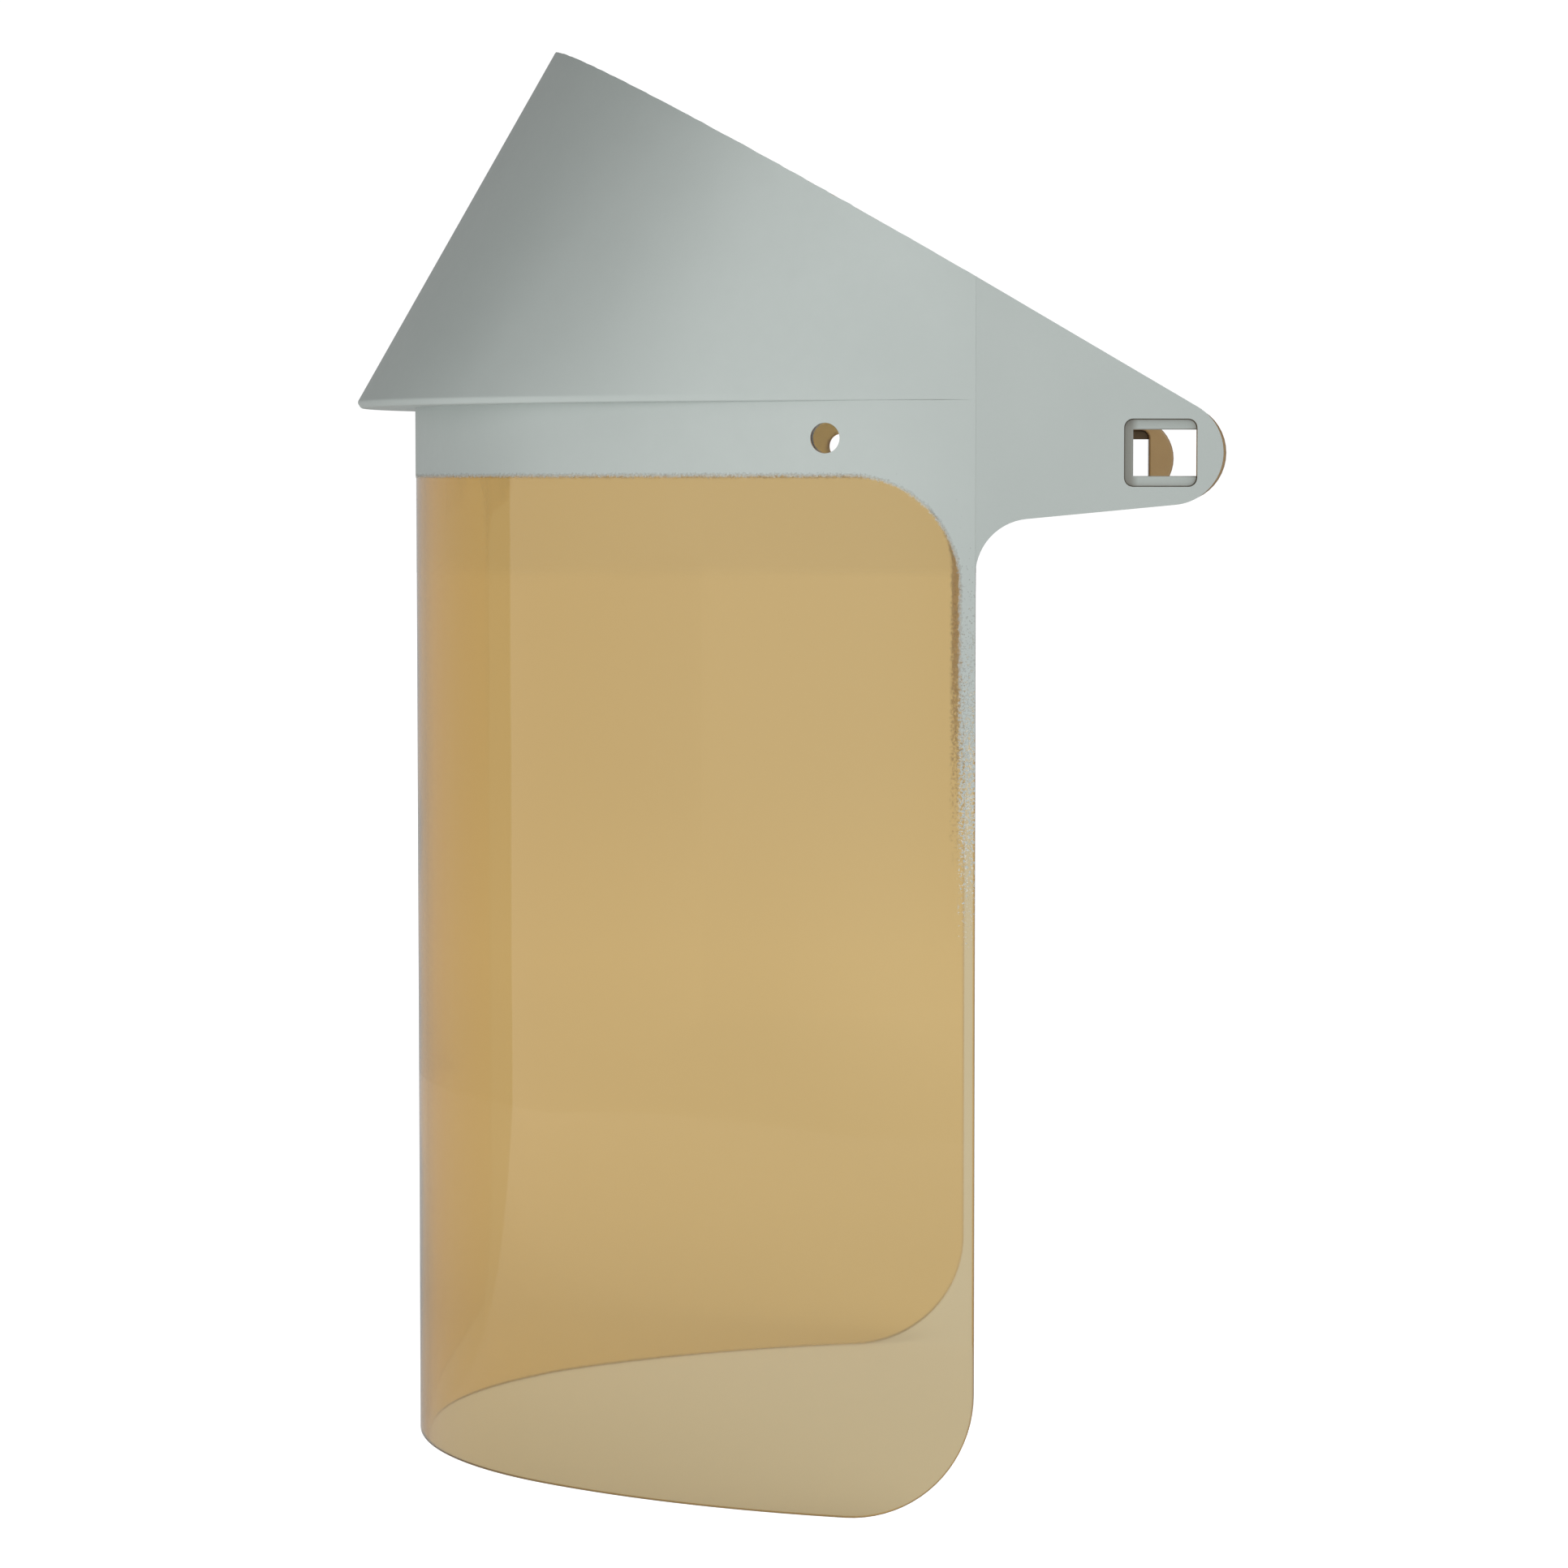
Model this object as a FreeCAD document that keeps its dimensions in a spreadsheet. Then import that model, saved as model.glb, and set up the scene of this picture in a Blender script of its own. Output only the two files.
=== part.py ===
"""Face shield for a safety helmet: a one-piece tinted polycarbonate moulding with a sprayed grey coat.

Frame: +Z up, -Y to the front of the wearer, +X to the wearer's left, origin at the middle of
the footprint on the surface that the lens's lower edge rests on. Millimetres and degrees.
The sketches are drawn with Y = 0 at the front of the lens, and each sub-part's Placement
moves it back by depth_centre.
"""
import FreeCAD, Part
import Sketcher
import os

V = FreeCAD.Vector

SIZES = [
    # moulding and paint
    ("wall", 2.0, "thickness of the moulded polycarbonate"),
    ("coat_film", 0.15, "thickness of the sprayed coat"),
    # lens, seen from above: a nose arc and one cheek arc each side
    ("lens_rise", 250.9, "height of the lens, lower edge to brim"),
    ("lens_depth", 135.8, "front of the lens to its rear edge"),
    ("nose_radius", 100.0, "outer radius across the nose"),
    ("nose_sweep", 50.0, "half the angle of the nose arc"),
    ("cheek_radius", 181.0, "outer radius along the cheeks"),
    ("corner_radius", 29.0, "lower rear corner of the lens"),
    # brim and crown
    ("brim_reach", 14.2, "how far the brim stands out in front of the lens"),
    ("brim_turn", 50.0, "half the angle of the brim's front arc"),
    ("brim_lip", 2.0, "thickness of the brim"),
    ("brim_draft", 0.8, "how far the brim's lower edge is set back at the front"),
    ("crown_rise", 84.8, "top of the brim to the rim's peak"),
    ("crown_setback", 48.8, "front of the brim back to the rim's peak"),
    ("rim_turn", 52.0, "half the angle of the rim's front arc"),
    ("rim_fall", 30.2, "slope of the rim below level, towards the rear"),
    # wings
    ("toe_in", 5.0, "angle of each wing towards the head"),
    ("tip_back", 43.4, "rear edge of the lens to the centre of the wing's tip"),
    ("tip_radius", 11.7, "radius of the wing's tip"),
    ("belly_slope", 5.4, "slope of the wing's lower edge"),
    ("crotch_radius", 12.5, "fillet between wing and lens"),
    # helmet slot, its boss and its rail
    ("slot_ahead", 2.3, "centre of the slot, ahead of the centre of the wing's tip"),
    ("slot_dip", 0.1, "centre of the slot, below the centre of the wing's tip"),
    ("slot_run", 16.3, "length of the slot"),
    ("slot_gap", 15.1, "height of the slot"),
    ("slot_round", 2.0, "corner radius of the slot"),
    ("boss_half", 11.0, "half the height of the boss"),
    ("boss_ahead", 3.7, "centre of the boss's front end, ahead of the slot's centre"),
    ("boss_behind", 3.8, "centre of the boss's rear end, behind the slot's centre"),
    ("boss_thick", 2.4, "thickness of the boss inside the wing"),
    ("rail_set", 1.1, "depth of the rail below the wing's outer face"),
    ("rail_thick", 1.8, "thickness of the rail"),
    ("rail_side", 2.4, "width of the rail above and below the opening"),
    ("rail_front", 2.1, "width of the rail in front of the opening"),
    # accessory hole in the painted band
    ("hole_bore", 6.7, "diameter of the accessory hole"),
    ("hole_ahead", 33.5, "rear edge of the lens forward to the hole"),
    ("hole_drop", 7.7, "brim down to the hole's centre"),
    # outline of the coat on the lens
    ("band_drop", 15.9, "height of the coated band under the brim"),
    ("border_width", 3.3, "width of the coated strip along the rear edge"),
    ("border_radius", 25.0, "corner between the band and the strip"),
    ("border_drop", 122.0, "how far below the brim the strip runs"),
    ("shade_ahead", 35.0, "rear edge of the lens forward to the end of the coat under the brim"),
]

# ---------------------------------------------------------------- document and sheet
doc = FreeCAD.newDocument("face_shield")
sheet = doc.addObject("Spreadsheet::Sheet", "sizes")
row = 0


def cell(alias, content, note=""):
    """Write one aliased cell: a plain number, or a formula that starts with '='."""
    global row
    row += 1
    sheet.set("A%d" % row, alias)
    sheet.set("B%d" % row, str(content))
    sheet.set("C%d" % row, note)
    sheet.setAlias("B%d" % row, alias)


def size(alias):
    """The number in a cell, with a leading minus sign obeyed."""
    if alias.startswith("-"):
        return -size(alias[1:])
    value = sheet.get(alias)
    return float(getattr(value, "Value", value))


def expression(alias):
    """The same cell as an expression for a property of another object."""
    return "-sizes." + alias[1:] if alias.startswith("-") else "sizes." + alias


def half_outline(name, front, end_x, end_y, sweep, end_heading):
    """Cells of a half outline of two tangent arcs, from the middle of the front to its end.

    The first arc starts square across the middle and turns by the sweep, and the second
    carries on to (end_x, end_y) and arrives there at end_heading.
    """
    run, s, h = "(%s - (%s))" % (end_y, front), sweep, end_heading
    det = "(sin({s}) * (cos({s}) - cos({h})) - (1 - cos({s})) * (sin({h}) - sin({s})))".format(s=s, h=h)
    nose = "=({x} * (cos({s}) - cos({h})) - {run} * (sin({h}) - sin({s}))) / {det}"
    cell(name + "_nose", nose.format(x=end_x, s=s, h=h, run=run, det=det), "radius of the front arc")
    cell(name + "_side", "=({run} * sin({s}) - {x} * (1 - cos({s}))) / {det}".format(
        x=end_x, s=s, run=run, det=det), "radius of the side arc")
    arc_centres(name, front, sweep)


def arc_centres(name, front, sweep):
    """Cells that place the centres of a half outline's two arcs."""
    cell(name + "_sweep", "=" + sweep)
    cell(name + "_nose_y", "=%s + %s_nose" % (front, name))
    cell(name + "_side_x", "=({n}_nose - {n}_side) * sin({s})".format(n=name, s=sweep))
    cell(name + "_side_y", "={n}_nose_y - ({n}_nose - {n}_side) * cos({s})".format(n=name, s=sweep))


def offset_outline(name, family, offset, end_y):
    """Cells of one outline, parallel to its family's at an offset, trimmed at end_y."""
    cell(name + "_nose", "=%s_nose + %s" % (family, offset))
    cell(name + "_side", "=%s_side + %s" % (family, offset))
    cell(name + "_join_x", "={n}_nose * sin({f}_sweep)".format(n=name, f=family))
    cell(name + "_join_y", "={f}_nose_y - {n}_nose * cos({f}_sweep)".format(n=name, f=family))
    cell(name + "_end_x", "={f}_side_x + sqrt({n}_side ^ 2 - ({y} - {f}_side_y) ^ 2)".format(
        n=name, f=family, y=end_y))
    cell(name + "_end_y", "=" + end_y)


for alias, number, note in SIZES:
    cell(alias, number, note)

# lens outline, driven by its radii, and where its rear edge lies
cell("lens_nose", "=nose_radius")
cell("lens_side", "=cheek_radius")
arc_centres("lens", "0", "nose_sweep")
offset_outline("lens_out", "lens", "0", "lens_depth")
offset_outline("lens_in", "lens", "-wall", "lens_depth")
offset_outline("lens_coat", "lens", "coat_film", "lens_depth")
cell("rear_heading", "=acos((lens_side_y - lens_depth) / lens_side)", "heading of the wall there")
cell("crease_x", "=lens_out_end_x", "the crease between lens and wing")

# brim and its lower edge end at the same crease
brim_end = ("crease_x", "lens_depth", "brim_turn", "rear_heading")
half_outline("foot", "-brim_reach + brim_draft", *brim_end)
half_outline("brim", "-brim_reach", *brim_end)
for family in ("foot", "brim"):
    offset_outline(family + "_out", family, "0", "lens_depth")
    offset_outline(family + "_coat", family, "coat_film", "lens_depth")
offset_outline("brim_in", "brim", "-wall", "lens_depth")
cell("crown_base", "=lens_rise + brim_lip")

# rim, in its own sloping plane: Y runs down the slope from the peak
cell("peak_y", "=crown_setback - brim_reach")
cell("peak_z", "=crown_base + crown_rise")
cell("rim_run", "=(lens_depth - peak_y) / cos(rim_fall)")
cell("rim_heading", "=90 deg - atan(cos(rim_fall) / tan(rear_heading))", "rear_heading, in that plane")
half_outline("rim", "0", "crease_x", "rim_run", "rim_turn", "rim_heading")
offset_outline("rim_out", "rim", "0", "rim_run")
offset_outline("rim_in", "rim", "-wall", "rim_run")
offset_outline("rim_coat", "rim", "coat_film", "rim_run")

# wing, from the side: the tip's circle touches the rim's line and the belly's line
cell("tip_y", "=lens_depth + tip_back")
cell("rim_tip_z", "=peak_z - (tip_y - peak_y) * tan(rim_fall)")
cell("tip_z", "=rim_tip_z - tip_radius / cos(rim_fall)")
cell("rim_crease_z", "=peak_z - (lens_depth - peak_y) * tan(rim_fall)")
cell("tip_top_y", "=tip_y + tip_radius * sin(rim_fall)")
cell("tip_top_z", "=tip_z + tip_radius * cos(rim_fall)")
cell("tip_end_y", "=tip_y + tip_radius")
cell("tip_low_y", "=tip_y + tip_radius * sin(belly_slope)")
cell("tip_low_z", "=tip_z - tip_radius * cos(belly_slope)")
cell("crotch_y", "=lens_depth + crotch_radius")
cell("belly_fall", "=(tip_y - crotch_y) * tan(belly_slope)")
cell("crotch_z", "=tip_z - (tip_radius + crotch_radius) / cos(belly_slope) - belly_fall")
cell("crotch_end_y", "=crotch_y - crotch_radius * sin(belly_slope)")
cell("crotch_end_z", "=crotch_z + crotch_radius * cos(belly_slope)")
cell("wing_reach", "=tip_y + tip_radius + boss_half", "a plane clear behind the wing")

# upright faces of the wing's slabs, from above, by their depth behind the wing's outer face
def slab_face(name, depth):
    """Cells of the X of one upright face at the crease and at the wing's far end."""
    cell(name + "_lens_depth_x", "=crease_x - (%s) / cos(toe_in)" % depth)
    cell(name + "_wing_reach_x", "=%s_lens_depth_x - (wing_reach - lens_depth) * tan(toe_in)" % name)


slab_face("paint", "-coat_film")
slab_face("face", "0")
slab_face("ledge", "rail_set")
slab_face("back", "wall")
slab_face("shelf", "rail_set + rail_thick")
slab_face("pad", "wall + boss_thick")

# slot, rail opening and boss, from the side
cell("slot_y", "=tip_y - slot_ahead")
cell("slot_level", "=tip_z - slot_dip")
cell("slot_front", "=slot_y - slot_run / 2")
cell("slot_rear", "=slot_y + slot_run / 2")
cell("slot_top", "=slot_level + slot_gap / 2")
cell("slot_low", "=slot_level - slot_gap / 2")
cell("slot_front_flat", "=slot_front + slot_round")
cell("slot_rear_flat", "=slot_rear - slot_round")
cell("slot_top_flat", "=slot_top - slot_round")
cell("slot_low_flat", "=slot_low + slot_round")
cell("rail_open_y", "=slot_front + rail_front")
cell("rail_open_top", "=slot_top - rail_side")
cell("rail_open_low", "=slot_low + rail_side")
cell("rail_open_rear", "=slot_rear + slot_run", "runs out behind the slot")
cell("boss_front_y", "=slot_y - boss_ahead")
cell("boss_rear_y", "=slot_y + boss_behind")
cell("boss_nose_y", "=boss_front_y - boss_half")
cell("boss_tail_y", "=boss_rear_y + boss_half")
cell("boss_top", "=slot_level + boss_half")
cell("boss_low", "=slot_level - boss_half")

# accessory hole, drilled square to the cheek
cell("hole_y", "=lens_depth - hole_ahead")
cell("hole_level", "=lens_rise - hole_drop")
cell("hole_tilt", "=asin((lens_side_y - hole_y) / lens_side)")
cell("hole_x", "=lens_side_x + lens_side * cos(hole_tilt)")
cell("hole_depth", "=6 * wall")

# coat outline on the lens, and the depth of the whole
cell("band_edge", "=lens_rise - band_drop")
cell("border_y", "=lens_depth - border_width")
cell("border_turn_y", "=border_y - border_radius")
cell("border_turn_z", "=band_edge - border_radius")
cell("border_low", "=lens_rise - border_drop")
cell("shade_y", "=lens_depth - shade_ahead")
cell("shade_level", "=lens_rise - coat_film")
cell("corner_y", "=lens_depth - corner_radius")
cell("lens_foot", "0")
cell("clear_front", "=-brim_reach - wall", "a plane clear in front of everything")
cell("clear_rear", "=wing_reach + wall", "a plane clear behind everything")
cell("clear_low", "=-wall")
cell("clear_top", "=peak_z + wall")
cell("clear_sky", "=clear_top + wall")
cell("clear_span", "=4 * crease_x")
cell("depth_centre", "=(boss_tail_y - brim_reach - coat_film) / 2")
offset_outline("shade_in", "lens", "coat_film", "shade_y")
offset_outline("shade_out", "foot", "coat_film", "shade_y")
doc.recompute()


# ---------------------------------------------------------------- sketches and features
def new_body(name):
    """A PartDesign body for one sub-part, placed in the part's frame."""
    body = doc.addObject("PartDesign::Body", name)
    body.Label = name
    body.setExpression("Placement.Base.y", "-sizes.depth_centre")
    return body


def new_sketch(body, name, plane):
    """A sketch on one of the body's own origin planes."""
    sketch = body.newObject("Sketcher::SketchObject", body.Name + "_" + name)
    support = [item for item in body.Origin.OriginFeatures if item.Role == plane][0]
    sketch.AttachmentSupport = [(support, "")]
    sketch.MapMode = "FlatFace"
    return sketch


def lift(sketch, **bases):
    """Bind parts of the sketch's attachment offset to cells, such as z='lens_rise'."""
    for axis, alias in bases.items():
        sketch.setExpression("AttachmentOffset.Base." + axis, expression(alias))


def pin(sketch, geometry, vertex, x, y):
    """Fix one vertex at two cells, measured from the sketch's origin."""
    for kind, alias in (("DistanceX", x), ("DistanceY", y)):
        index = sketch.addConstraint(
            Sketcher.Constraint(kind, -1, 1, geometry, vertex, size(alias)))
        sketch.setExpression("Constraints[%d]" % index, expression(alias))


def closed_outline(sketch, corners, edges):
    """Draw a closed outline through the corners, given as pairs of cells.

    Each edge is None for a straight line, or (radius cell, side) for an arc of under half a
    turn, where side is 1 if the centre lies to the left of the way from corner to corner.
    """
    points = [V(size(x), size(y), 0) for x, y in corners]
    ends = []
    for number, edge in enumerate(edges):
        first, last = points[number], points[(number + 1) % len(points)]
        if edge is None:
            index = sketch.addGeometry(Part.LineSegment(first, last), False)
        else:
            radius_cell, side = edge
            radius, chord = size(radius_cell), last - first
            left = V(-chord.y, chord.x, 0).normalize()
            reach = (radius ** 2 - chord.Length ** 2 / 4) ** 0.5
            centre = (first + last) / 2 + left * side * reach
            middle = centre - left * side * radius
            index = sketch.addGeometry(Part.Arc(first, middle, last), False)
            bound = sketch.addConstraint(Sketcher.Constraint("Radius", index, radius))
            sketch.setExpression("Constraints[%d]" % bound, expression(radius_cell))
        forward = sketch.getPoint(index, 1).distanceToPoint(first) < 1e-6
        ends.append((index, 1, 2) if forward else (index, 2, 1))
    for number, (x, y) in enumerate(corners):
        index, start, _ = ends[number]
        before, _, finish = ends[number - 1]
        sketch.addConstraint(Sketcher.Constraint("Coincident", before, finish, index, start))
        pin(sketch, index, start, x, y)


def mirrored(corners):
    """The same corners with the first cell of each pair negated, in the opposite order."""
    return [("-" + x, y) for x, y in reversed(corners)]


def wall_strip(sketch, outer, inner):
    """The strip between two outlines, from one rear end round the front to the other."""
    def half(name):
        return [(name + "_end_x", name + "_end_y"), (name + "_join_x", name + "_join_y")]

    way_out = half(outer) + mirrored(half(outer))
    way_back = half(inner) + mirrored(half(inner))
    arcs_out = [(outer + part, -1) for part in ("_side", "_nose", "_side")]
    arcs_back = [(inner + part, 1) for part in ("_side", "_nose", "_side")]
    closed_outline(sketch, way_out + way_back[::-1], arcs_out + [None] + arcs_back + [None])


def rectangle(sketch, low_x, high_x, low_y, high_y):
    """A rectangle between four cells."""
    corners = [(low_x, low_y), (high_x, low_y), (high_x, high_y), (low_x, high_y)]
    closed_outline(sketch, corners, [None] * 4)


def pad(body, sketch, height):
    feature = body.newObject("PartDesign::Pad", sketch.Name + "_pad")
    feature.Profile = sketch
    feature.setExpression("Length", expression(height))
    return feature


def cut_across(body, sketch, span="clear_span"):
    """Cut the sketch's outline through the body, to both sides of the sketch's plane."""
    feature = body.newObject("PartDesign::Pocket", sketch.Name + "_cut")
    feature.Profile = sketch
    feature.SideType = "Symmetric"
    feature.setExpression("Length", expression(span))
    return feature


def ruled_loft(body, sketches):
    feature = body.newObject("PartDesign::AdditiveLoft", body.Name + "_loft")
    feature.Profile = sketches[0]
    feature.Sections = sketches[1:]
    feature.Ruled = True
    return feature


def level_strip(body, name, outer, inner, level):
    """A wall strip on a level plane."""
    sketch = new_sketch(body, name, "XY_Plane")
    lift(sketch, z=level)
    wall_strip(sketch, outer, inner)
    return sketch


def rim_strip(body, name, outer, inner):
    """A wall strip on the rim's sloping plane."""
    sketch = new_sketch(body, name, "XY_Plane")
    slope = FreeCAD.Rotation(V(-1, 0, 0), size("rim_fall"))
    sketch.AttachmentOffset = FreeCAD.Placement(V(0, 0, 0), slope)
    sketch.setExpression("AttachmentOffset.Rotation.Angle", expression("rim_fall"))
    lift(sketch, y="peak_y", z="peak_z")
    wall_strip(sketch, outer, inner)
    return sketch


def drill_accessory_holes(body):
    """Drill one hole square to each cheek."""
    for side, sign in (("left", ""), ("right", "-")):
        sketch = new_sketch(body, side + "_hole", "YZ_Plane")
        turn = FreeCAD.Rotation(V(0, -1 if side == "left" else 1, 0), size("hole_tilt"))
        sketch.AttachmentOffset = FreeCAD.Placement(V(0, 0, 0), turn)
        sketch.setExpression("AttachmentOffset.Rotation.Angle", expression("hole_tilt"))
        lift(sketch, x="hole_y", y="hole_level", z=sign + "hole_x")
        circle = sketch.addGeometry(Part.Circle(V(0, 0, 0), V(0, 0, 1), size("hole_bore") / 2), False)
        sketch.addConstraint(Sketcher.Constraint("Coincident", circle, 3, -1, 1))
        bore = sketch.addConstraint(Sketcher.Constraint("Diameter", circle, size("hole_bore")))
        sketch.setExpression("Constraints[%d]" % bore, expression("hole_bore"))
        cut_across(body, sketch, "hole_depth")


# ---------------------------------------------------------------- lens, brim and crown
def lens_panel():
    """The tinted window: one bent wall with rounded lower rear corners and two drilled holes."""
    body = new_body("lens_panel")
    sketch = new_sketch(body, "plan", "XY_Plane")
    wall_strip(sketch, "lens_out", "lens_in")
    pad(body, sketch, "lens_rise")
    corner = new_sketch(body, "corner", "YZ_Plane")
    corners = [("corner_y", "clear_low"), ("clear_rear", "clear_low"),
               ("clear_rear", "corner_radius"), ("lens_depth", "corner_radius"), ("corner_y", "lens_foot")]
    closed_outline(corner, corners, [None, None, None, ("corner_radius", -1), None])
    cut_across(body, corner)
    drill_accessory_holes(body)
    return body


def brim_ledge():
    """The shelf that steps out from the lens to the crown, widest at the front."""
    body = new_body("brim_ledge")
    ruled_loft(body, [level_strip(body, "lower", "foot_out", "lens_in", "lens_rise"),
                      level_strip(body, "upper", "brim_out", "lens_in", "crown_base")])
    return body


def crown_shell():
    """The hood above the brim: straight rulings from the brim to the sloping rim."""
    body = new_body("crown_shell")
    ruled_loft(body, [level_strip(body, "base", "brim_out", "brim_in", "crown_base"),
                      rim_strip(body, "rim", "rim_out", "rim_in")])
    return body


# ---------------------------------------------------------------- wings, bosses and rails
def wing_slab(name, side, near, far, front):
    """An upright slab parallel to the wing, between two depths behind the wing's outer face."""
    body = new_body(name)
    sketch = new_sketch(body, "plan", "XY_Plane")
    sign = "" if side == "left" else "-"
    corners = [(sign + near + "_" + front + "_x", front), (sign + near + "_wing_reach_x", "wing_reach"),
               (sign + far + "_wing_reach_x", "wing_reach"), (sign + far + "_" + front + "_x", front)]
    closed_outline(sketch, corners, [None] * 4)
    pad(body, sketch, "clear_top")
    return body


def keep_inside(body, name, draw):
    """Cut everything away outside an outline seen from the side."""
    sketch = new_sketch(body, name, "YZ_Plane")
    rectangle(sketch, "clear_front", "clear_rear", "clear_low", "clear_sky")
    draw(sketch)
    cut_across(body, sketch)


def wing_outline(sketch):
    """The wing from the side: crease, crotch fillet, belly, round tip and the rim's line."""
    corners = [("lens_depth", "crotch_z"), ("crotch_end_y", "crotch_end_z"), ("tip_low_y", "tip_low_z"),
               ("tip_end_y", "tip_z"), ("tip_top_y", "tip_top_z"), ("lens_depth", "rim_crease_z")]
    turn = ("tip_radius", 1)
    closed_outline(sketch, corners, [("crotch_radius", -1), None, turn, turn, None, None])


def slot_outline(sketch):
    """The helmet slot from the side: a rectangle with rounded corners."""
    corners = [("slot_front_flat", "slot_low"), ("slot_rear_flat", "slot_low"),
               ("slot_rear", "slot_low_flat"), ("slot_rear", "slot_top_flat"),
               ("slot_rear_flat", "slot_top"), ("slot_front_flat", "slot_top"),
               ("slot_front", "slot_top_flat"), ("slot_front", "slot_low_flat")]
    closed_outline(sketch, corners, [None, ("slot_round", 1)] * 4)


def boss_outline(sketch):
    """The boss from the side: a pad with round ends, made of quarter turns."""
    corners = [("boss_front_y", "boss_low"), ("boss_rear_y", "boss_low"), ("boss_tail_y", "slot_level"),
               ("boss_rear_y", "boss_top"), ("boss_front_y", "boss_top"), ("boss_nose_y", "slot_level")]
    turn = ("boss_half", 1)
    closed_outline(sketch, corners, [None, turn, turn, None, turn, turn])


def cut_slot(body):
    sketch = new_sketch(body, "slot", "YZ_Plane")
    slot_outline(sketch)
    cut_across(body, sketch)


def wing(side):
    """The plate behind the crease that carries the shield on the helmet."""
    body = wing_slab(side + "_wing", side, "face", "back", "lens_depth")
    keep_inside(body, "side", wing_outline)
    cut_slot(body)
    return body


def slot_boss(side):
    """The pad that thickens the wing around the slot, on the inside."""
    body = wing_slab(side + "_slot_boss", side, "back", "pad", "lens_depth")
    keep_inside(body, "side", boss_outline)
    cut_slot(body)
    return body


def slot_rail(side):
    """The ledge within the slot that the helmet adapter grips, open towards the rear."""
    body = wing_slab(side + "_slot_rail", side, "ledge", "shelf", "lens_depth")
    keep_inside(body, "side", slot_outline)
    opening = new_sketch(body, "opening", "YZ_Plane")
    rectangle(opening, "rail_open_y", "rail_open_rear", "rail_open_low", "rail_open_top")
    cut_across(body, opening)
    return body


# ---------------------------------------------------------------- sprayed coat
def crown_coat():
    """The coat over the crown and the brim's edge."""
    body = new_body("crown_coat")
    ruled_loft(body, [level_strip(body, "foot", "foot_coat", "foot_out", "lens_rise"),
                      level_strip(body, "base", "brim_coat", "brim_out", "crown_base"),
                      rim_strip(body, "rim", "rim_coat", "rim_out")])
    return body


def brim_coat():
    """The coat under the brim, a crescent that stops where the brim is about as thin as a line."""
    body = new_body("brim_coat")
    sketch = level_strip(body, "plan", "shade_out", "shade_in", "shade_level")
    pad(body, sketch, "coat_film")
    return body


def band_coat():
    """The coat on the lens: a band under the brim and a strip down each rear edge."""
    body = new_body("band_coat")
    sketch = new_sketch(body, "plan", "XY_Plane")
    wall_strip(sketch, "lens_coat", "lens_out")
    pad(body, sketch, "lens_rise")
    window = new_sketch(body, "window", "YZ_Plane")
    corners = [("clear_front", "clear_low"), ("clear_rear", "clear_low"), ("clear_rear", "border_low"),
               ("border_y", "border_low"), ("border_y", "border_turn_z"),
               ("border_turn_y", "band_edge"), ("clear_front", "band_edge")]
    closed_outline(window, corners, [None, None, None, None, ("border_radius", 1), None, None])
    cut_across(body, window)
    drill_accessory_holes(body)
    return body


def wing_coat(side):
    """The coat on the outer face of a wing."""
    body = wing_slab(side + "_wing_coat", side, "paint", "face", "lens_depth")
    keep_inside(body, "side", wing_outline)
    cut_slot(body)
    return body


parts = [lens_panel(), brim_ledge(), crown_shell()]
for side in ("left", "right"):
    parts += [wing(side), slot_boss(side), slot_rail(side), wing_coat(side)]
parts += [crown_coat(), brim_coat(), band_coat()]
doc.recompute()

# ---------------------------------------------------------------- checks and export
for item in doc.Objects:
    if "Invalid" in item.State or "Error" in item.State:
        raise RuntimeError("%s did not recompute: %s" % (item.Label, item.State))
    if item.isDerivedFrom("PartDesign::Pocket"):
        if item.Shape.Volume > item.BaseFeature.Shape.Volume - 1e-3:
            raise RuntimeError("%s cuts nothing" % item.Label)
for part in parts:
    if part.Shape.isNull() or not part.Shape.isValid() or len(part.Shape.Solids) != 1:
        raise RuntimeError("%s is not one valid solid" % part.Label)

os.makedirs("parts", exist_ok=True)
for part in parts:
    part.Shape.exportStep("parts/%s.step" % part.Label)
    print("%-18s %10.1f mm3" % (part.Label, part.Shape.Volume))
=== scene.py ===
# %% [markdown]
# # A face shield that hangs from a safety helmet
# The shield is one bent sheet of tinted polycarbonate. Below the brim it is a clear amber window.
# Above it, a hood rises to a sloping rim that fits round the helmet, and two wings reach back to
# the helmet's side slots. Everything but the window is sprayed grey on the outside.
# The CAD part is loaded first: every piece built here takes its place and its size from it.

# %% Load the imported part
import math

import bpy
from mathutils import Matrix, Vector, noise
from mathutils.geometry import delaunay_2d_cdt


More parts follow.
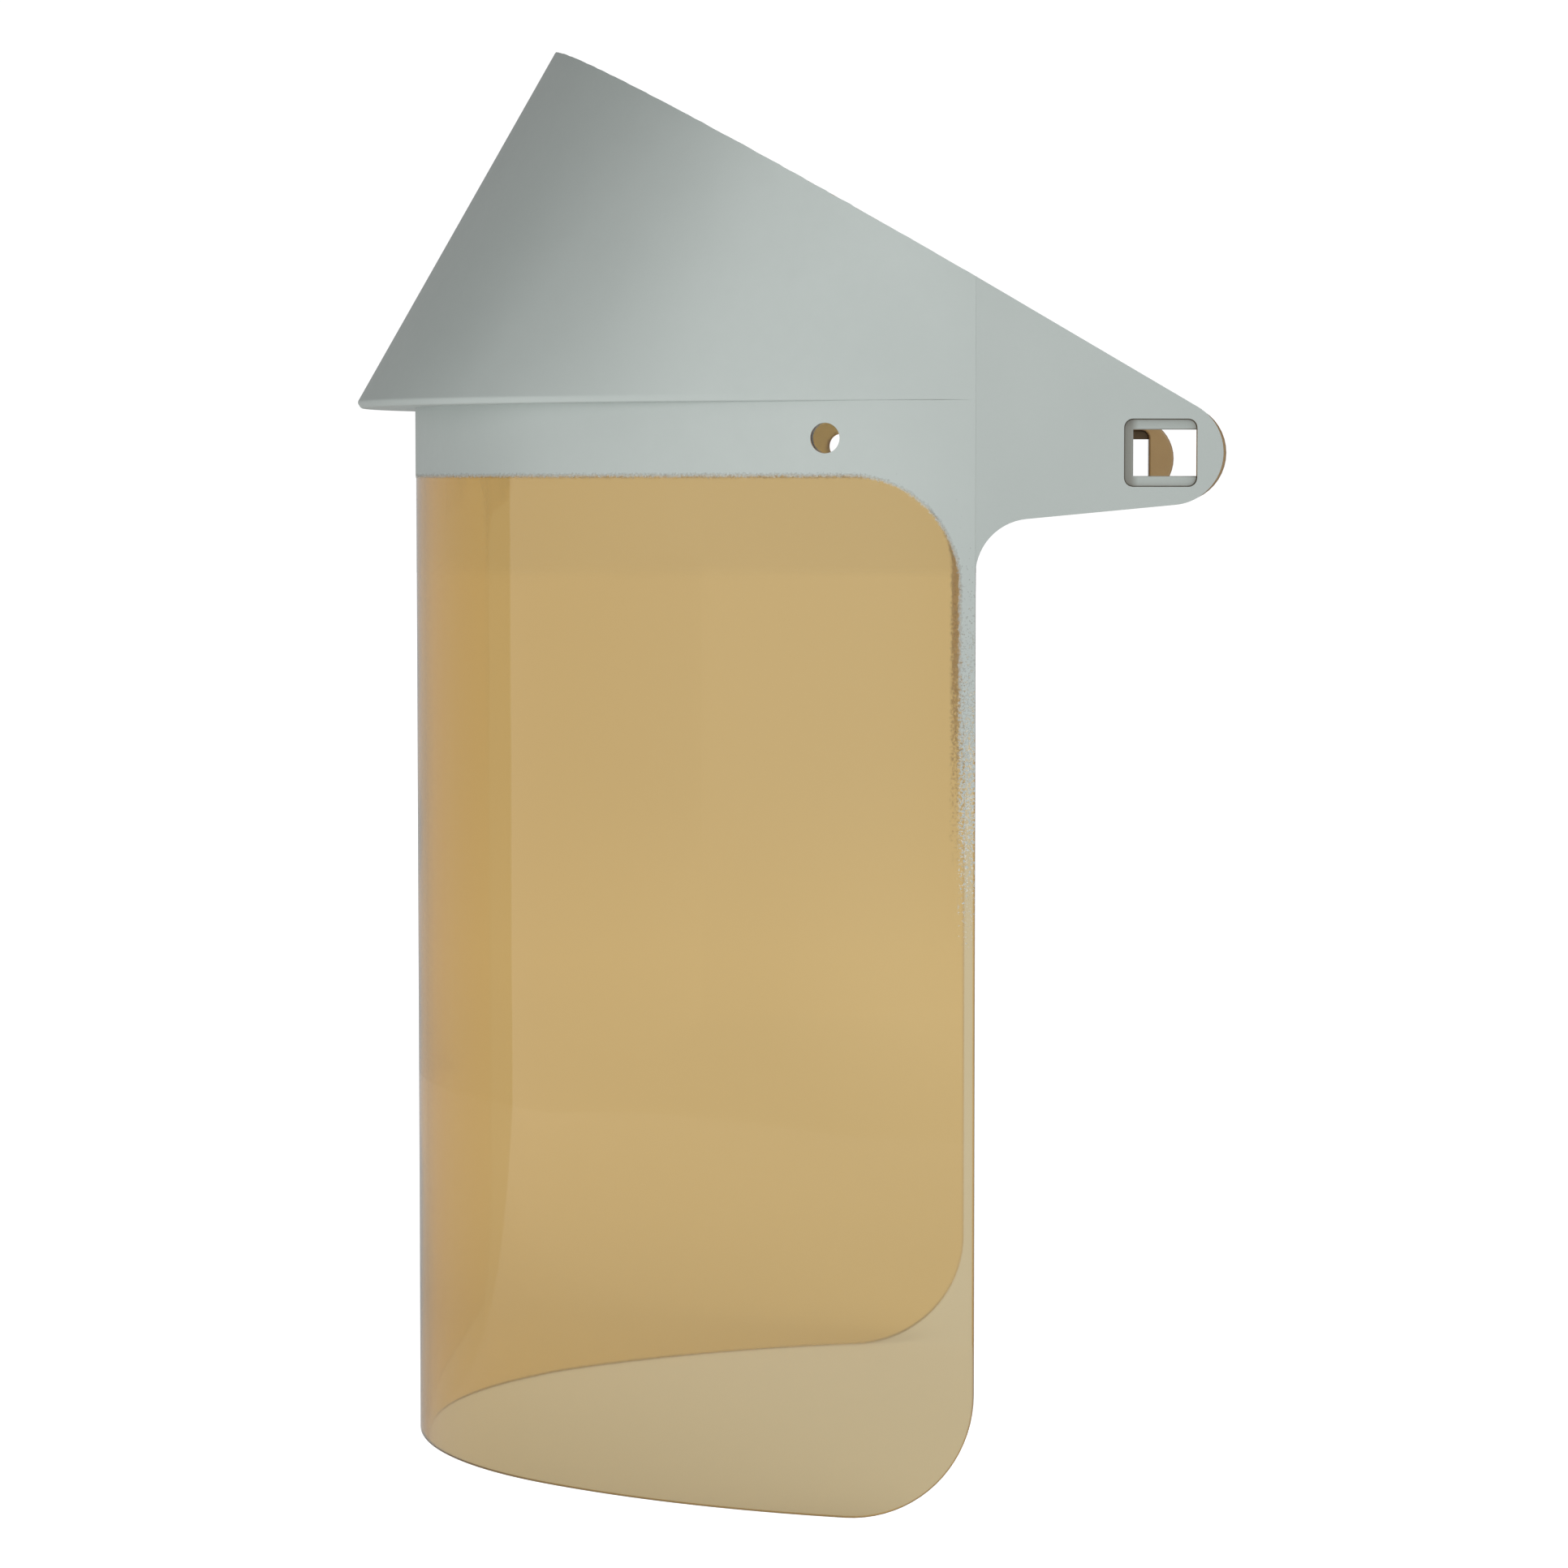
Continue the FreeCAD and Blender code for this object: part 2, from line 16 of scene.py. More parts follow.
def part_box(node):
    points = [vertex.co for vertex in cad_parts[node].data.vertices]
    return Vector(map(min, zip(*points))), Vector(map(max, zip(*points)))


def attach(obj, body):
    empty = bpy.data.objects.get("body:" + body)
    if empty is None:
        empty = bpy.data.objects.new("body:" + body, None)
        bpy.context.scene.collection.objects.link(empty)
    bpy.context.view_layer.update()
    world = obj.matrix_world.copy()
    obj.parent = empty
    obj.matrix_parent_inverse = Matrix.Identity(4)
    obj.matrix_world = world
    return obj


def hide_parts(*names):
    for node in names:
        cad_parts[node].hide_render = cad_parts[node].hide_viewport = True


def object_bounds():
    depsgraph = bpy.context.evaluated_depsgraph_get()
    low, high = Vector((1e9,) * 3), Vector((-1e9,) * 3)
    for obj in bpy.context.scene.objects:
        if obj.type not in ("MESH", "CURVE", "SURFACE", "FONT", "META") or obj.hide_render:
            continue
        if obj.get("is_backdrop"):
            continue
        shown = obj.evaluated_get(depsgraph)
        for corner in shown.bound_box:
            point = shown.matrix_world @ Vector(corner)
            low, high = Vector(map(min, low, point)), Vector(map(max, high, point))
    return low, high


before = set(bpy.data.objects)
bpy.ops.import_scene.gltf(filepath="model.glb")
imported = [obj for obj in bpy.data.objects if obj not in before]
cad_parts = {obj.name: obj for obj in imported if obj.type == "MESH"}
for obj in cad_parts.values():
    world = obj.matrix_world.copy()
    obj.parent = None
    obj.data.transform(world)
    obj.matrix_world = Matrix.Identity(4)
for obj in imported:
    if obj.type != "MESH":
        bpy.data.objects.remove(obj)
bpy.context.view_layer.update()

# %% [markdown]
# The sizes are in millimetres, because that is how a mould maker thinks. x runs across the face,
# y runs back from the front of the lens, z runs up from its lower edge. One function turns them
# into Blender's metres. They are the CAD part's own sizes, but for one: the brim's underside is
# drawn 0.7 mm higher, so that the shelf's lip comes out as thin as the sheet it is formed from.

# %% The shield's sizes
MM = 0.001
LENS_DEPTH, LENS_RISE, WALL, FILM = 135.8, 251.6, 2.0, 0.15
FRONT_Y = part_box("lens_panel")[1].y / MM - LENS_DEPTH
BRIM_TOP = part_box("brim_ledge")[1].z / MM
PEAK_Y, PEAK_Z, RIM_FALL = 34.6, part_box("crown_shell")[1].z / MM, 30.2
TIP_Y, TIP_Z, TIP_R, TOE_IN, BELLY_RISE = 179.2, 240.0, 11.7, 5.0, 5.4
SLOT_Y, SLOT_Z, SLOT_RUN, SLOT_GAP, SLOT_R = 176.9, 239.9, 16.3, 15.1, 2.0
HOLE_BACK, HOLE_Z, HOLE_R = 33.5, 243.2, 3.35


def metres(x, y, z):
    return Vector((x * MM, (FRONT_Y + y) * MM, z * MM))


print("front of the lens at y =", round(FRONT_Y, 3), "mm")
print("brim at", round(BRIM_TOP, 2), "mm, peak at", round(PEAK_Z, 2), "mm")

# %% [markdown]
# Seen from above, the lens, the brim and the rim are all the same kind of line: one arc across the
# nose and a flatter arc along each cheek, meeting without a kink. The two radii follow from where
# the line starts, where it ends and which way it points there, so one function serves all three.


# %% Lines seen from above
def bent_line(front, end_x, end_y, sweep, heading):
    """The nose arc and the cheek arc of a line from (0, front) to (end_x, end_y)."""
    s, h, run = math.radians(sweep), heading, end_y - front
    flat, side = math.cos(s) - math.cos(h), math.sin(h) - math.sin(s)
    share = math.sin(s) * flat - (1 - math.cos(s)) * side
    nose = (end_x * flat - run * side) / share
    cheek = (run * math.sin(s) - end_x * (1 - math.cos(s))) / share
    return {"sweep": s, "nose": nose, "cheek": cheek, "nose_y": front + nose, "end_y": end_y,
            "cheek_x": (nose - cheek) * math.sin(s), "cheek_y": front + nose - (nose - cheek) * math.cos(s)}


def on_line(line, place, inset=0.0):
    """x, y and turn at a place from -2 to 2: up to 1 is the nose, from 1 to 2 a cheek."""
    side, place = math.copysign(1, place), abs(place)
    if place <= 1:
        turn, r = place * line["sweep"], line["nose"] - inset
        return side * r * math.sin(turn), line["nose_y"] - r * math.cos(turn), side * turn
    r = line["cheek"] - inset
    last = math.acos((line["cheek_y"] - line["end_y"]) / r)
    turn = line["sweep"] + (place - 1) * (last - line["sweep"])
    x, y = line["cheek_x"] + r * math.sin(turn), line["cheek_y"] - r * math.cos(turn)
    return side * x, y, side * turn


quarter = bent_line(0.0, 100.0, 100.0, 45, math.pi / 2)
print("a quarter circle of 100 mm has radii", round(quarter["nose"], 1), round(quarter["cheek"], 1))

# %% [markdown]
# The lens's two radii are given, and its rear edge follows from them. The brim's foot and lip and
# the rim are then drawn from their own front to that same rear edge. The rim is drawn in its
# sloping plane, where it runs further back than it seems to from above.

# %% The lens, brim and rim lines
NOSE_R, CHEEK_R, NOSE_SWEEP, RIM_SWEEP = 100.0, 181.0, 50, 52
FOOT_REACH, BRIM_REACH = 13.4, 14.2
SWEEP, SLOPE = math.radians(NOSE_SWEEP), math.radians(RIM_FALL)
LENS = {"sweep": SWEEP, "nose": NOSE_R, "cheek": CHEEK_R, "nose_y": NOSE_R, "end_y": LENS_DEPTH,
        "cheek_x": (NOSE_R - CHEEK_R) * math.sin(SWEEP),
        "cheek_y": NOSE_R + (CHEEK_R - NOSE_R) * math.cos(SWEEP)}
EDGE_X, _, REAR_TURN = on_line(LENS, 2)
FOOT = bent_line(-FOOT_REACH, EDGE_X, LENS_DEPTH, NOSE_SWEEP, REAR_TURN)
BRIM = bent_line(-BRIM_REACH, EDGE_X, LENS_DEPTH, NOSE_SWEEP, REAR_TURN)
RIM_RUN = (LENS_DEPTH - PEAK_Y) / math.cos(SLOPE)
RIM_TURN = math.pi / 2 - math.atan(math.cos(SLOPE) / math.tan(REAR_TURN))
RIM = bent_line(0.0, EDGE_X, RIM_RUN, RIM_SWEEP, RIM_TURN)


def foot_point(place, inset=0.0):
    return metres(*on_line(FOOT, place, inset)[:2], LENS_RISE)


def brim_point(place, inset=0.0):
    return metres(*on_line(BRIM, place, inset)[:2], BRIM_TOP)


def rim_point(place, inset=0.0):
    x, run, _ = on_line(RIM, place, inset)
    return metres(x, PEAK_Y + run * math.cos(SLOPE), PEAK_Z - run * math.sin(SLOPE))


print("rear edge x =", round(EDGE_X, 2), "rim radii", round(RIM["nose"], 1), round(RIM["cheek"], 1))

# %% [markdown]
# The lens and the wings are sheets, some bent and some left flat. So each is drawn flat, as an
# outline with its holes, filled with triangles, given its thickness and rounded edges, and only
# then bent into place. Drawing it flat keeps holes and corners exact.


# %% Outlines of a flat sheet
def arc(cx, cy, r, start, end, steps=10):
    turns = [math.radians(start + (end - start) * i / steps) for i in range(steps + 1)]
    return [(cx + r * math.cos(t), cy + r * math.sin(t)) for t in turns]


def ring(points, counter=True):
    """The closed outline without doubled points, turning the way asked."""
    kept = [p for i, p in enumerate(points) if math.dist(p, points[i - 1]) > 1e-4]
    area = sum(a[0] * b[1] - b[0] * a[1] for a, b in zip(kept, kept[1:] + kept[:1]))
    return kept if (area > 0) == counter else kept[::-1]


def finer(points, step):
    """The outline with points added, so that no side is longer than step."""
    out = []
    for a, b in zip(points, points[1:] + points[:1]):
        cuts = max(1, math.ceil(math.dist(a, b) / step))
        out += [(a[0] + (b[0] - a[0]) * i / cuts, a[1] + (b[1] - a[1]) * i / cuts)
                for i in range(cuts)]
    return out


print("a quarter turn has", len(arc(0, 0, 10, 0, 90)), "points")

# %% [markdown]
# A rounded edge takes room: the flat faces end a little inside the outline. At a corner that step
# inwards has to suit both sides at once, so it is the crossing of the two sides moved in.


# %% Room for rounded edges
def insets(points, radius_at):
    """For each point of an outline: its step inwards, its rounding's radius, and outwards."""
    sides = []
    for a, b in zip(points, points[1:] + points[:1]):
        away = Vector((b[1] - a[1], a[0] - b[0])).normalized()
        sides.append((away, radius_at((a[0] + b[0]) / 2, (a[1] + b[1]) / 2)))
    out = []
    for (n1, r1), (n2, r2) in zip(sides[-1:] + sides[:-1], sides):
        cross = n1.x * n2.y - n1.y * n2.x
        if abs(cross) < 0.02:
            step = -(n1 + n2).normalized() * (r1 + r2) / 2
        else:
            step = -Vector((r1 * n2.y - r2 * n1.y, n1.x * r2 - n2.x * r1)) / cross
        out.append((step, min(r1, r2), (n1 + n2).normalized()))
    return out


square = insets([(0, 0), (10, 0), (10, 10), (0, 10)], lambda u, v: 1.0)
print("a square's corner steps in by", [round(v, 2) for v in square[0][0]])


# %% Fill a flat outline with triangles
def fill(rings, grid):
    """Triangles inside the first ring and outside the others, using the grid's points there."""
    flat = [Vector(p) for ring_ in rings for p in ring_] + [Vector(p) for p in grid]
    edges, start = [], 0
    for ring_ in rings:
        n = len(ring_)
        edges += [(start + i, start + (i + 1) % n) for i in range(n)]
        start += n
    _, _, faces, origins, _, _ = delaunay_2d_cdt(flat, edges, [], 1, 1e-5)
    first = [o[0] if o else None for o in origins]
    if any(f is None for f in first):
        raise RuntimeError("the outline crosses itself")
    triangles = [[first[i] for i in face] for face in faces]
    middles = [sum((flat[i] for i in t), Vector((0, 0))) / 3 for t in triangles]
    return [t for t, m in zip(triangles, middles) if inside(m, rings, 0.0)], flat


def inside(point, rings, margin):
    """True where the point lies in the sheet, at least margin from its edges."""
    x, y = point
    odd = False
    for ring_ in rings:
        for a, b in zip(ring_, ring_[1:] + ring_[:1]):
            if (a[1] > y) != (b[1] > y):
                odd = odd != (x < a[0] + (y - a[1]) * (b[0] - a[0]) / (b[1] - a[1]))
            if math.dist(a, point) < margin:
                return False
    return odd


print("the middle of a square is inside:", inside((5, 5), [[(0, 0), (10, 0), (10, 10), (0, 10)]], 1))

# %% [markdown]
# A closed sheet is built from its near face, its far face and, along every outline, a strip that
# goes round the edge from one to the other. Two marks are stored with each point, for the finishes
# to use: how far round an edge it lies, and whether it is on the inner side. The true normals are
# stored too, because a clear sheet shows every wobble in its shading.


# %% A sheet with rounded edges, bent into place
def make_mesh(name, points, normals, faces):
    mesh = bpy.data.meshes.new(name)
    mesh.from_pydata(points, [], faces)
    mesh.validate()
    mesh.shade_smooth()
    mesh.normals_split_custom_set_from_vertices([n.normalized() for n in normals])
    piece = bpy.data.objects.new(name, mesh)
    bpy.context.scene.collection.objects.link(piece)
    return piece


def edge_steps(near, far, turns):
    """Side, angle round the edge, and the skin's depth for a radius, from near face to far face."""
    angles = [math.pi / 2 * k / turns for k in range(1, turns + 1)]
    for angle in angles:
        yield 1, angle, lambda r, a=angle: near + r * (1 - math.cos(a))
    for angle in angles[::-1]:
        yield -1, angle, lambda r, a=angle: far - r * (1 - math.cos(a))


def sheet(name, rings, near, far, bend, radius_at, step=50.0, columns=(), rows=(), flip=False, turns=4):
    """A closed sheet between two depths; bend(u, v, depth) gives point, normal and u's direction."""
    rings = [finer(r, step) for r in rings]
    shape = [insets(r, radius_at) for r in rings]
    tucked = [[(p[0] + s[0].x, p[1] + s[0].y) for p, s in zip(r, sh)] for r, sh in zip(rings, shape)]
    margin = 0.45 * min(step, 8.0)
    grid = [(u, v) for u in columns for v in rows if inside((u, v), tucked, margin)]
    triangles, flat = fill(tucked, grid)
    points, normals, faces, marks = [], [], [], {"edge": [], "inner": []}

    def add(u, v, depth, out, angle=0.0, away=(0.0, 0.0)):
        point, face_normal, along = bend(u, v, depth)
        edge = along * away[0] + Vector((0, 0, 1)) * away[1]
        points.append(point)
        normals.append(face_normal * out * math.cos(angle) + edge * math.sin(angle))
        marks["edge"].append(math.sin(angle))
        marks["inner"].append(float(out < 0))

    for depth, out in ((near, 1), (far, -1)):
        first = len(points)
        for u, v in flat:
            add(u, v, depth, out)
        turn = (out > 0) == flip
        faces += [[first + i for i in (reversed(t) if turn else t)] for t in triangles]
    start, thickest = 0, abs(far - near) * 0.45
    for ring_, sh in zip(rings, shape):
        n = len(ring_)
        loops = [range(start, start + n)]
        for out, angle, depth_at in edge_steps(near, far, turns):
            loops.append(range(len(points), len(points) + n))
            share = 1 - math.sin(angle)
            for (u, v), (tuck, r, away) in zip(ring_, sh):
                depth = depth_at(min(r, thickest))
                add(u + tuck.x * share, v + tuck.y * share, depth, out, angle, away)
        loops.append(range(len(flat) + start, len(flat) + start + n))
        for a, b in zip(loops, loops[1:]):
            for i in range(n):
                quad = [a[i], b[i], b[(i + 1) % n], a[(i + 1) % n]]
                faces.append(quad[::-1] if flip else quad)
        start += n
    piece = make_mesh(name, points, normals, faces)
    for mark, values in marks.items():
        piece.data.attributes.new(mark, "FLOAT", "POINT").data.foreach_set("value", values)
    return piece


print("an edge of 4 turns has", len(list(edge_steps(0.0, 1.0, 4))), "steps")

# %% [markdown]
# The window is bent along the lens line, so its flat width is the length of that line. A hole or a
# rounded corner is drawn as it looks from the side, and its distance back is turned into a distance
# along the sheet.


# %% Bend a sheet along the lens
NOSE_RUN = LENS["nose"] * LENS["sweep"]
CHEEK_RUN = LENS["cheek"] * (REAR_TURN - LENS["sweep"])
HALF_RUN = NOSE_RUN + CHEEK_RUN


def along_lens(y):
    """How far along the sheet from the nose a place lies that is y back from the lens's front."""
    joint = LENS["nose_y"] - LENS["nose"] * math.cos(LENS["sweep"])
    if y <= joint:
        return LENS["nose"] * math.acos((LENS["nose_y"] - max(y, 0.0)) / LENS["nose"])
    turn = math.acos((LENS["cheek_y"] - min(y, LENS_DEPTH)) / LENS["cheek"])
    return NOSE_RUN + LENS["cheek"] * (turn - LENS["sweep"])


def bend_lens(u, v, depth):
    run = abs(u)
    place = run / NOSE_RUN if run <= NOSE_RUN else 1 + (run - NOSE_RUN) / CHEEK_RUN
    x, y, turn = on_line(LENS, math.copysign(place, u))
    out = Vector((math.sin(turn), -math.cos(turn), 0))
    return metres(x, y, v) - out * depth * MM, out, Vector((math.cos(turn), math.sin(turn), 0))


HOLE_RUN = along_lens(LENS_DEPTH - HOLE_BACK)
print("half the flat lens is", round(HALF_RUN, 2), "mm")
print("each hole is", round(HOLE_RUN, 2), "mm from the nose")

# %% [markdown]
# ## The lens panel
# A clear amber window 2 mm thick, with rounded lower rear corners and two drilled holes under the
# brim. On the real shield the edge is trimmed and broken, so here every free edge is rounded: that
# is where a clear sheet gathers light and shows its colour deepest. It stops a hair short of the
# brim and the wings, so that two surfaces never share one place.

# %% Draw the lens panel flat
CORNER_R, HAIR = 29.0, 0.02
TOP = LENS_RISE - HAIR


def quarter_turn(y, z, r, up, steps):
    """A quarter circle on the lens as it looks from the side, ending at its rearmost point."""
    turns = (math.radians(90) * i / steps for i in range(steps + 1))
    return [(along_lens(y + r * math.sin(t)), z + up * r * math.cos(t)) for t in turns]


def drill(radius):
    """The outlines of the two holes, turning against the sheet's own outline."""
    return [ring(arc(side * HOLE_RUN, HOLE_Z, radius, 0, 360, 40)[:-1], False) for side in (-1, 1)]


def both_sides(half):
    """A flat outline from its right half."""
    return ring(half + [(-u, v) for u, v in half[::-1]])


corner = quarter_turn(LENS_DEPTH - CORNER_R, CORNER_R, CORNER_R, -1, 20)
lens_ring = both_sides(corner + [(HALF_RUN, TOP)])
print("lens outline:", len(lens_ring), "points")

# %% Build the lens panel
FREE_EDGE, JOINED_EDGE, JOINED_FROM_Z = 0.45, 0.03, 212
LENS_STEP, LENS_CUTS = 2.4, 170
lens_rows = [4 + 8.0 * i for i in range(31)]


def lens_edge(u, v):
    """The rounding of the lens's edges: next to none where the brim and the wings carry on."""
    joined = v > TOP - 0.01 or (abs(u) > HALF_RUN - 0.01 and v > JOINED_FROM_Z)
    return JOINED_EDGE if joined else FREE_EDGE


lens_columns = [-HALF_RUN + HALF_RUN * 2 * i / LENS_CUTS for i in range(LENS_CUTS + 1)]
lens_panel = sheet("lens_panel_clear", [lens_ring] + drill(HOLE_R), 0.0, WALL, bend_lens, lens_edge,
                   LENS_STEP, lens_columns, lens_rows)
print("lens panel:", len(lens_panel.data.polygons), "faces")

# %% [markdown]
# ## The wings
# Each wing is a flat plate that leans 5 degrees towards the head. Its top edge carries on the
# hood's rim, its tip is round, and a fillet joins it to the lens. The helmet's adapter goes through
# the slot and slides along the rails. The four pieces of a wing share one bend function.


# %% Lean a wing towards the head
def lean_back(side):
    """Bend function of a wing: flat, leaning in towards the head."""
    lean = math.radians(TOE_IN)
    out = Vector((side * math.cos(lean), math.sin(lean), 0))
    back = Vector((-side * math.sin(lean), math.cos(lean), 0))

    def bend(u, v, depth):
        x = EDGE_X - (u - LENS_DEPTH) * math.tan(lean) - depth / math.cos(lean)
        return metres(side * x, u, v), out, back
    return bend


tip, _, _ = lean_back(1)(TIP_Y + TIP_R, TIP_Z, 0.0)
print("the left wing's tip is at x =", round(tip.x / MM, 2), "mm")

# %% Draw the wing from the side
CROTCH_R = 12.5
belly = math.radians(BELLY_RISE)
crotch_y = LENS_DEPTH + CROTCH_R
tip_low = (TIP_Y + TIP_R * math.sin(belly), TIP_Z - TIP_R * math.cos(belly))
belly_z = tip_low[1] - (tip_low[0] - crotch_y + CROTCH_R * math.sin(belly)) * math.tan(belly)
crotch_z = belly_z - CROTCH_R * math.cos(belly)
crease_z = PEAK_Z - RIM_RUN * math.sin(SLOPE)
wing_ring = ring(arc(crotch_y, crotch_z, CROTCH_R, 180, 90 + BELLY_RISE, 14)
                 + arc(TIP_Y, TIP_Z, TIP_R, -90 + BELLY_RISE, 90 - RIM_FALL, 28)
                 + [(LENS_DEPTH, crease_z)])
print("wing outline:", len(wing_ring), "points, crotch at z =", round(crotch_z, 2))

# %% [markdown]
# The slot has soft corners. A raised pad stiffens the sheet round it, and a thin ledge runs along
# its front, its top and its bottom, open to the rear, for the adapter's tongue to slide under.

# %% Draw the slot, its pad and its rails
BOSS_R, BOSS_REAR, BOSS_FRONT = 11.0, 3.8, 3.7
RAIL_FRONT, RAIL_SIDE = 2.1, 2.4
front, rear = SLOT_Y - SLOT_RUN / 2, SLOT_Y + SLOT_RUN / 2
low, high = SLOT_Z - SLOT_GAP / 2, SLOT_Z + SLOT_GAP / 2


def slot_corner(y, z, start, end):
    """A rounded corner of the slot; y and z say which one, as -1 or 1."""
    centre_y = rear - SLOT_R if y > 0 else front + SLOT_R
    centre_z = high - SLOT_R if z > 0 else low + SLOT_R
    return arc(centre_y, centre_z, SLOT_R, start, end, 6)


slot_ring = ring(slot_corner(1, -1, -90, 0) + slot_corner(1, 1, 0, 90)
                 + slot_corner(-1, 1, 90, 180) + slot_corner(-1, -1, 180, 270), False)
boss_ring = ring(arc(SLOT_Y + BOSS_REAR, SLOT_Z, BOSS_R, -90, 90, 22)
                 + arc(SLOT_Y - BOSS_FRONT, SLOT_Z, BOSS_R, 90, 270, 22))
open_y, open_low, open_high = front + RAIL_FRONT, low + RAIL_SIDE, high - RAIL_SIDE
rail_ring = ring([(open_y, open_low), (rear, open_low)]
                 + slot_corner(1, -1, 0, -90) + slot_corner(-1, -1, 270, 180)
                 + slot_corner(-1, 1, 180, 90) + slot_corner(1, 1, 90, 0)
                 + [(rear, open_high), (open_y, open_high)])
print("slot, pad and rail outlines:", len(slot_ring), len(boss_ring), len(rail_ring), "points")


# %% Build the wings, bosses, rails and the wings' coats
def crease_or(radius):
    """A wing edge's rounding: none along the crease, where it carries on from lens and hood."""
    return lambda u, v: 0.02 if u < LENS_DEPTH + 0.01 else radius


BOSS_RISE = 2.4
# each row: the piece's name, its outlines, its near and far depth, its edges' rounding, edge steps
wing_parts = {"wing": ("wing_plate", [wing_ring, slot_ring], 0.0, WALL, 0.35, 4),
              "slot_boss": ("slot_boss_pad", [boss_ring, slot_ring], WALL, WALL + BOSS_RISE, 0.6, 4),
              "slot_rail": ("slot_rail_ledge", [rail_ring], 1.1, 2.9, 0.3, 4),
              "wing_coat": ("wing_paint", [wing_ring, slot_ring], -FILM, 0.0, 0.06, 2)}
wing_pieces = {}
for side, word in ((1, "left_"), (-1, "right_")):
    for node, (name, rings, near, far, radius, turns) in wing_parts.items():
        wing_pieces[word + node] = sheet(word + name, rings, near, far, lean_back(side),
                                         crease_or(radius), flip=side < 0, turns=turns)
print("wing pieces:", len(wing_pieces))

# %% [markdown]
# ## The brim and the hood
# The brim is a narrow shelf that steps out from the lens, 14 mm at the front and nothing at the
# rear. The hood rises from it in straight lines to the rim, which lies in a sloping plane. A sheet
# formed hot over a mould has no sharp corners, so the profile is drawn with soft ones.
# Each piece is one profile carried round the shield, station by station.

# %% Carry a profile round the shield
CHEEK_CUTS, NOSE_CUTS = 36, 44
STATIONS = ([-2 + i / CHEEK_CUTS for i in range(CHEEK_CUTS)]
            + [-1 + i / NOSE_CUTS for i in range(2 * NOSE_CUTS)]
            + [1 + i / CHEEK_CUTS for i in range(CHEEK_CUTS + 1)])


def soft_corner(before, corner_point, after, reach, steps=5):
    """Points that round a corner of a profile, starting and ending reach away from it."""
    a = corner_point + (before - corner_point).normalized() * reach
    b = corner_point + (after - corner_point).normalized() * reach
    shares = [i / steps for i in range(steps + 1)]
    return [a.lerp(corner_point, t).lerp(corner_point.lerp(b, t), t) for t in shares]


def sloped(a, b, steps):
    """Evenly spaced points from a to b, without a itself."""
    return [a.lerp(b, i / steps) for i in range(1, steps + 1)]


def carried(profile_at):
    """A closed piece from the closed profile of each station, with flat ends."""
    profiles = [profile_at(place) for place in STATIONS]
    n, points, normals, faces = len(profiles[0]), [], [], []
    for i, profile in enumerate(profiles):
        ahead, behind = profiles[min(i + 1, len(profiles) - 1)], profiles[max(i - 1, 0)]
        for j, point in enumerate(profile):
            along = ahead[j] - behind[j]
            across = profile[(j + 1) % n] - profile[j - 1]
            points.append(point)
            normals.append(along.cross(across).normalized())
    for i in range(len(profiles) - 1):
        for j in range(n):
            k = (j + 1) % n
            faces.append([i * n + j, (i + 1) * n + j, (i + 1) * n + k, i * n + k])
    faces += [list(range(n)), [len(points) - n + j for j in range(n)][::-1]]
    return points, normals, faces


print("stations round the shield:", len(STATIONS))


# %% Profiles of the brim, the hood and the coat
LIP_SOFT, RIM_SOFT, HOOD_CUTS, COAT_CUTS = 0.45, 0.35, 14, 18


def lens_top(place, inset=0.0, z=LENS_RISE):
    return metres(*on_line(LENS, place, inset)[:2], z)


def lip(place):
    """The brim's outside from underneath, as points of its lower corner, upper corner, and the rim."""
    foot, brim, rim = foot_point(place), brim_point(place), rim_point(place)
    width = (foot - lens_top(place)).length
    reach = max(0.02 * MM, min(LIP_SOFT * MM, 0.4 * width))
    turn = on_line(FOOT, place)[2]
    under = foot + Vector((-math.sin(turn), math.cos(turn), 0)) * reach * 2
    return soft_corner(under, foot, brim, reach), soft_corner(foot, brim, rim, reach, 4), rim


def brim_profile(place):
    low, top, _ = lip(place)
    return low + top[:3] + [lens_top(place, WALL, BRIM_TOP), lens_top(place, WALL)]


def hood_profile(place):
    """The hood's wall, closed, with its rim trimmed and its corners broken."""
    _, top, rim = lip(place)
    brim_in, rim_in, start = brim_point(place, WALL), rim_point(place, WALL), top[-1]
    below = start + (rim - start) * 0.9
    head = (soft_corner(below, rim, rim_in, RIM_SOFT * MM, 3)
            + soft_corner(rim, rim_in, brim_in, RIM_SOFT * MM, 3))
    outside = [start] + sloped(start, head[0], HOOD_CUTS)[:-1]
    return outside + head + sloped(head[-1], brim_in, HOOD_CUTS)


def coat_line(place):
    low, top, rim = lip(place)
    return low + top + sloped(top[-1], rim, COAT_CUTS)


print("points in a profile:", len(brim_profile(0)), len(hood_profile(0)), len(coat_line(0)))

# %% Build the brim and the hood
brim_ledge = make_mesh("brim_ledge_shelf", *carried(brim_profile))
crown_shell = make_mesh("crown_hood", *carried(hood_profile))
print("hood:", len(crown_shell.data.polygons), "faces")

# %% [markdown]
# ## The grey coat
# The coat is a sprayed film, 0.15 mm thick. Over the hood it follows the outside from under the
# brim to the rim, where the trimming left it slightly ragged, so the last row of points wanders by
# about a tenth of a millimetre. A film is made by setting a second surface off the first.


# %% A film over a run of points
def wander(point):
    """A rough number near 0 that changes along an edge, coarse and fine at once."""
    return noise.noise(point * 900) + 0.7 * noise.noise(point * 2600)


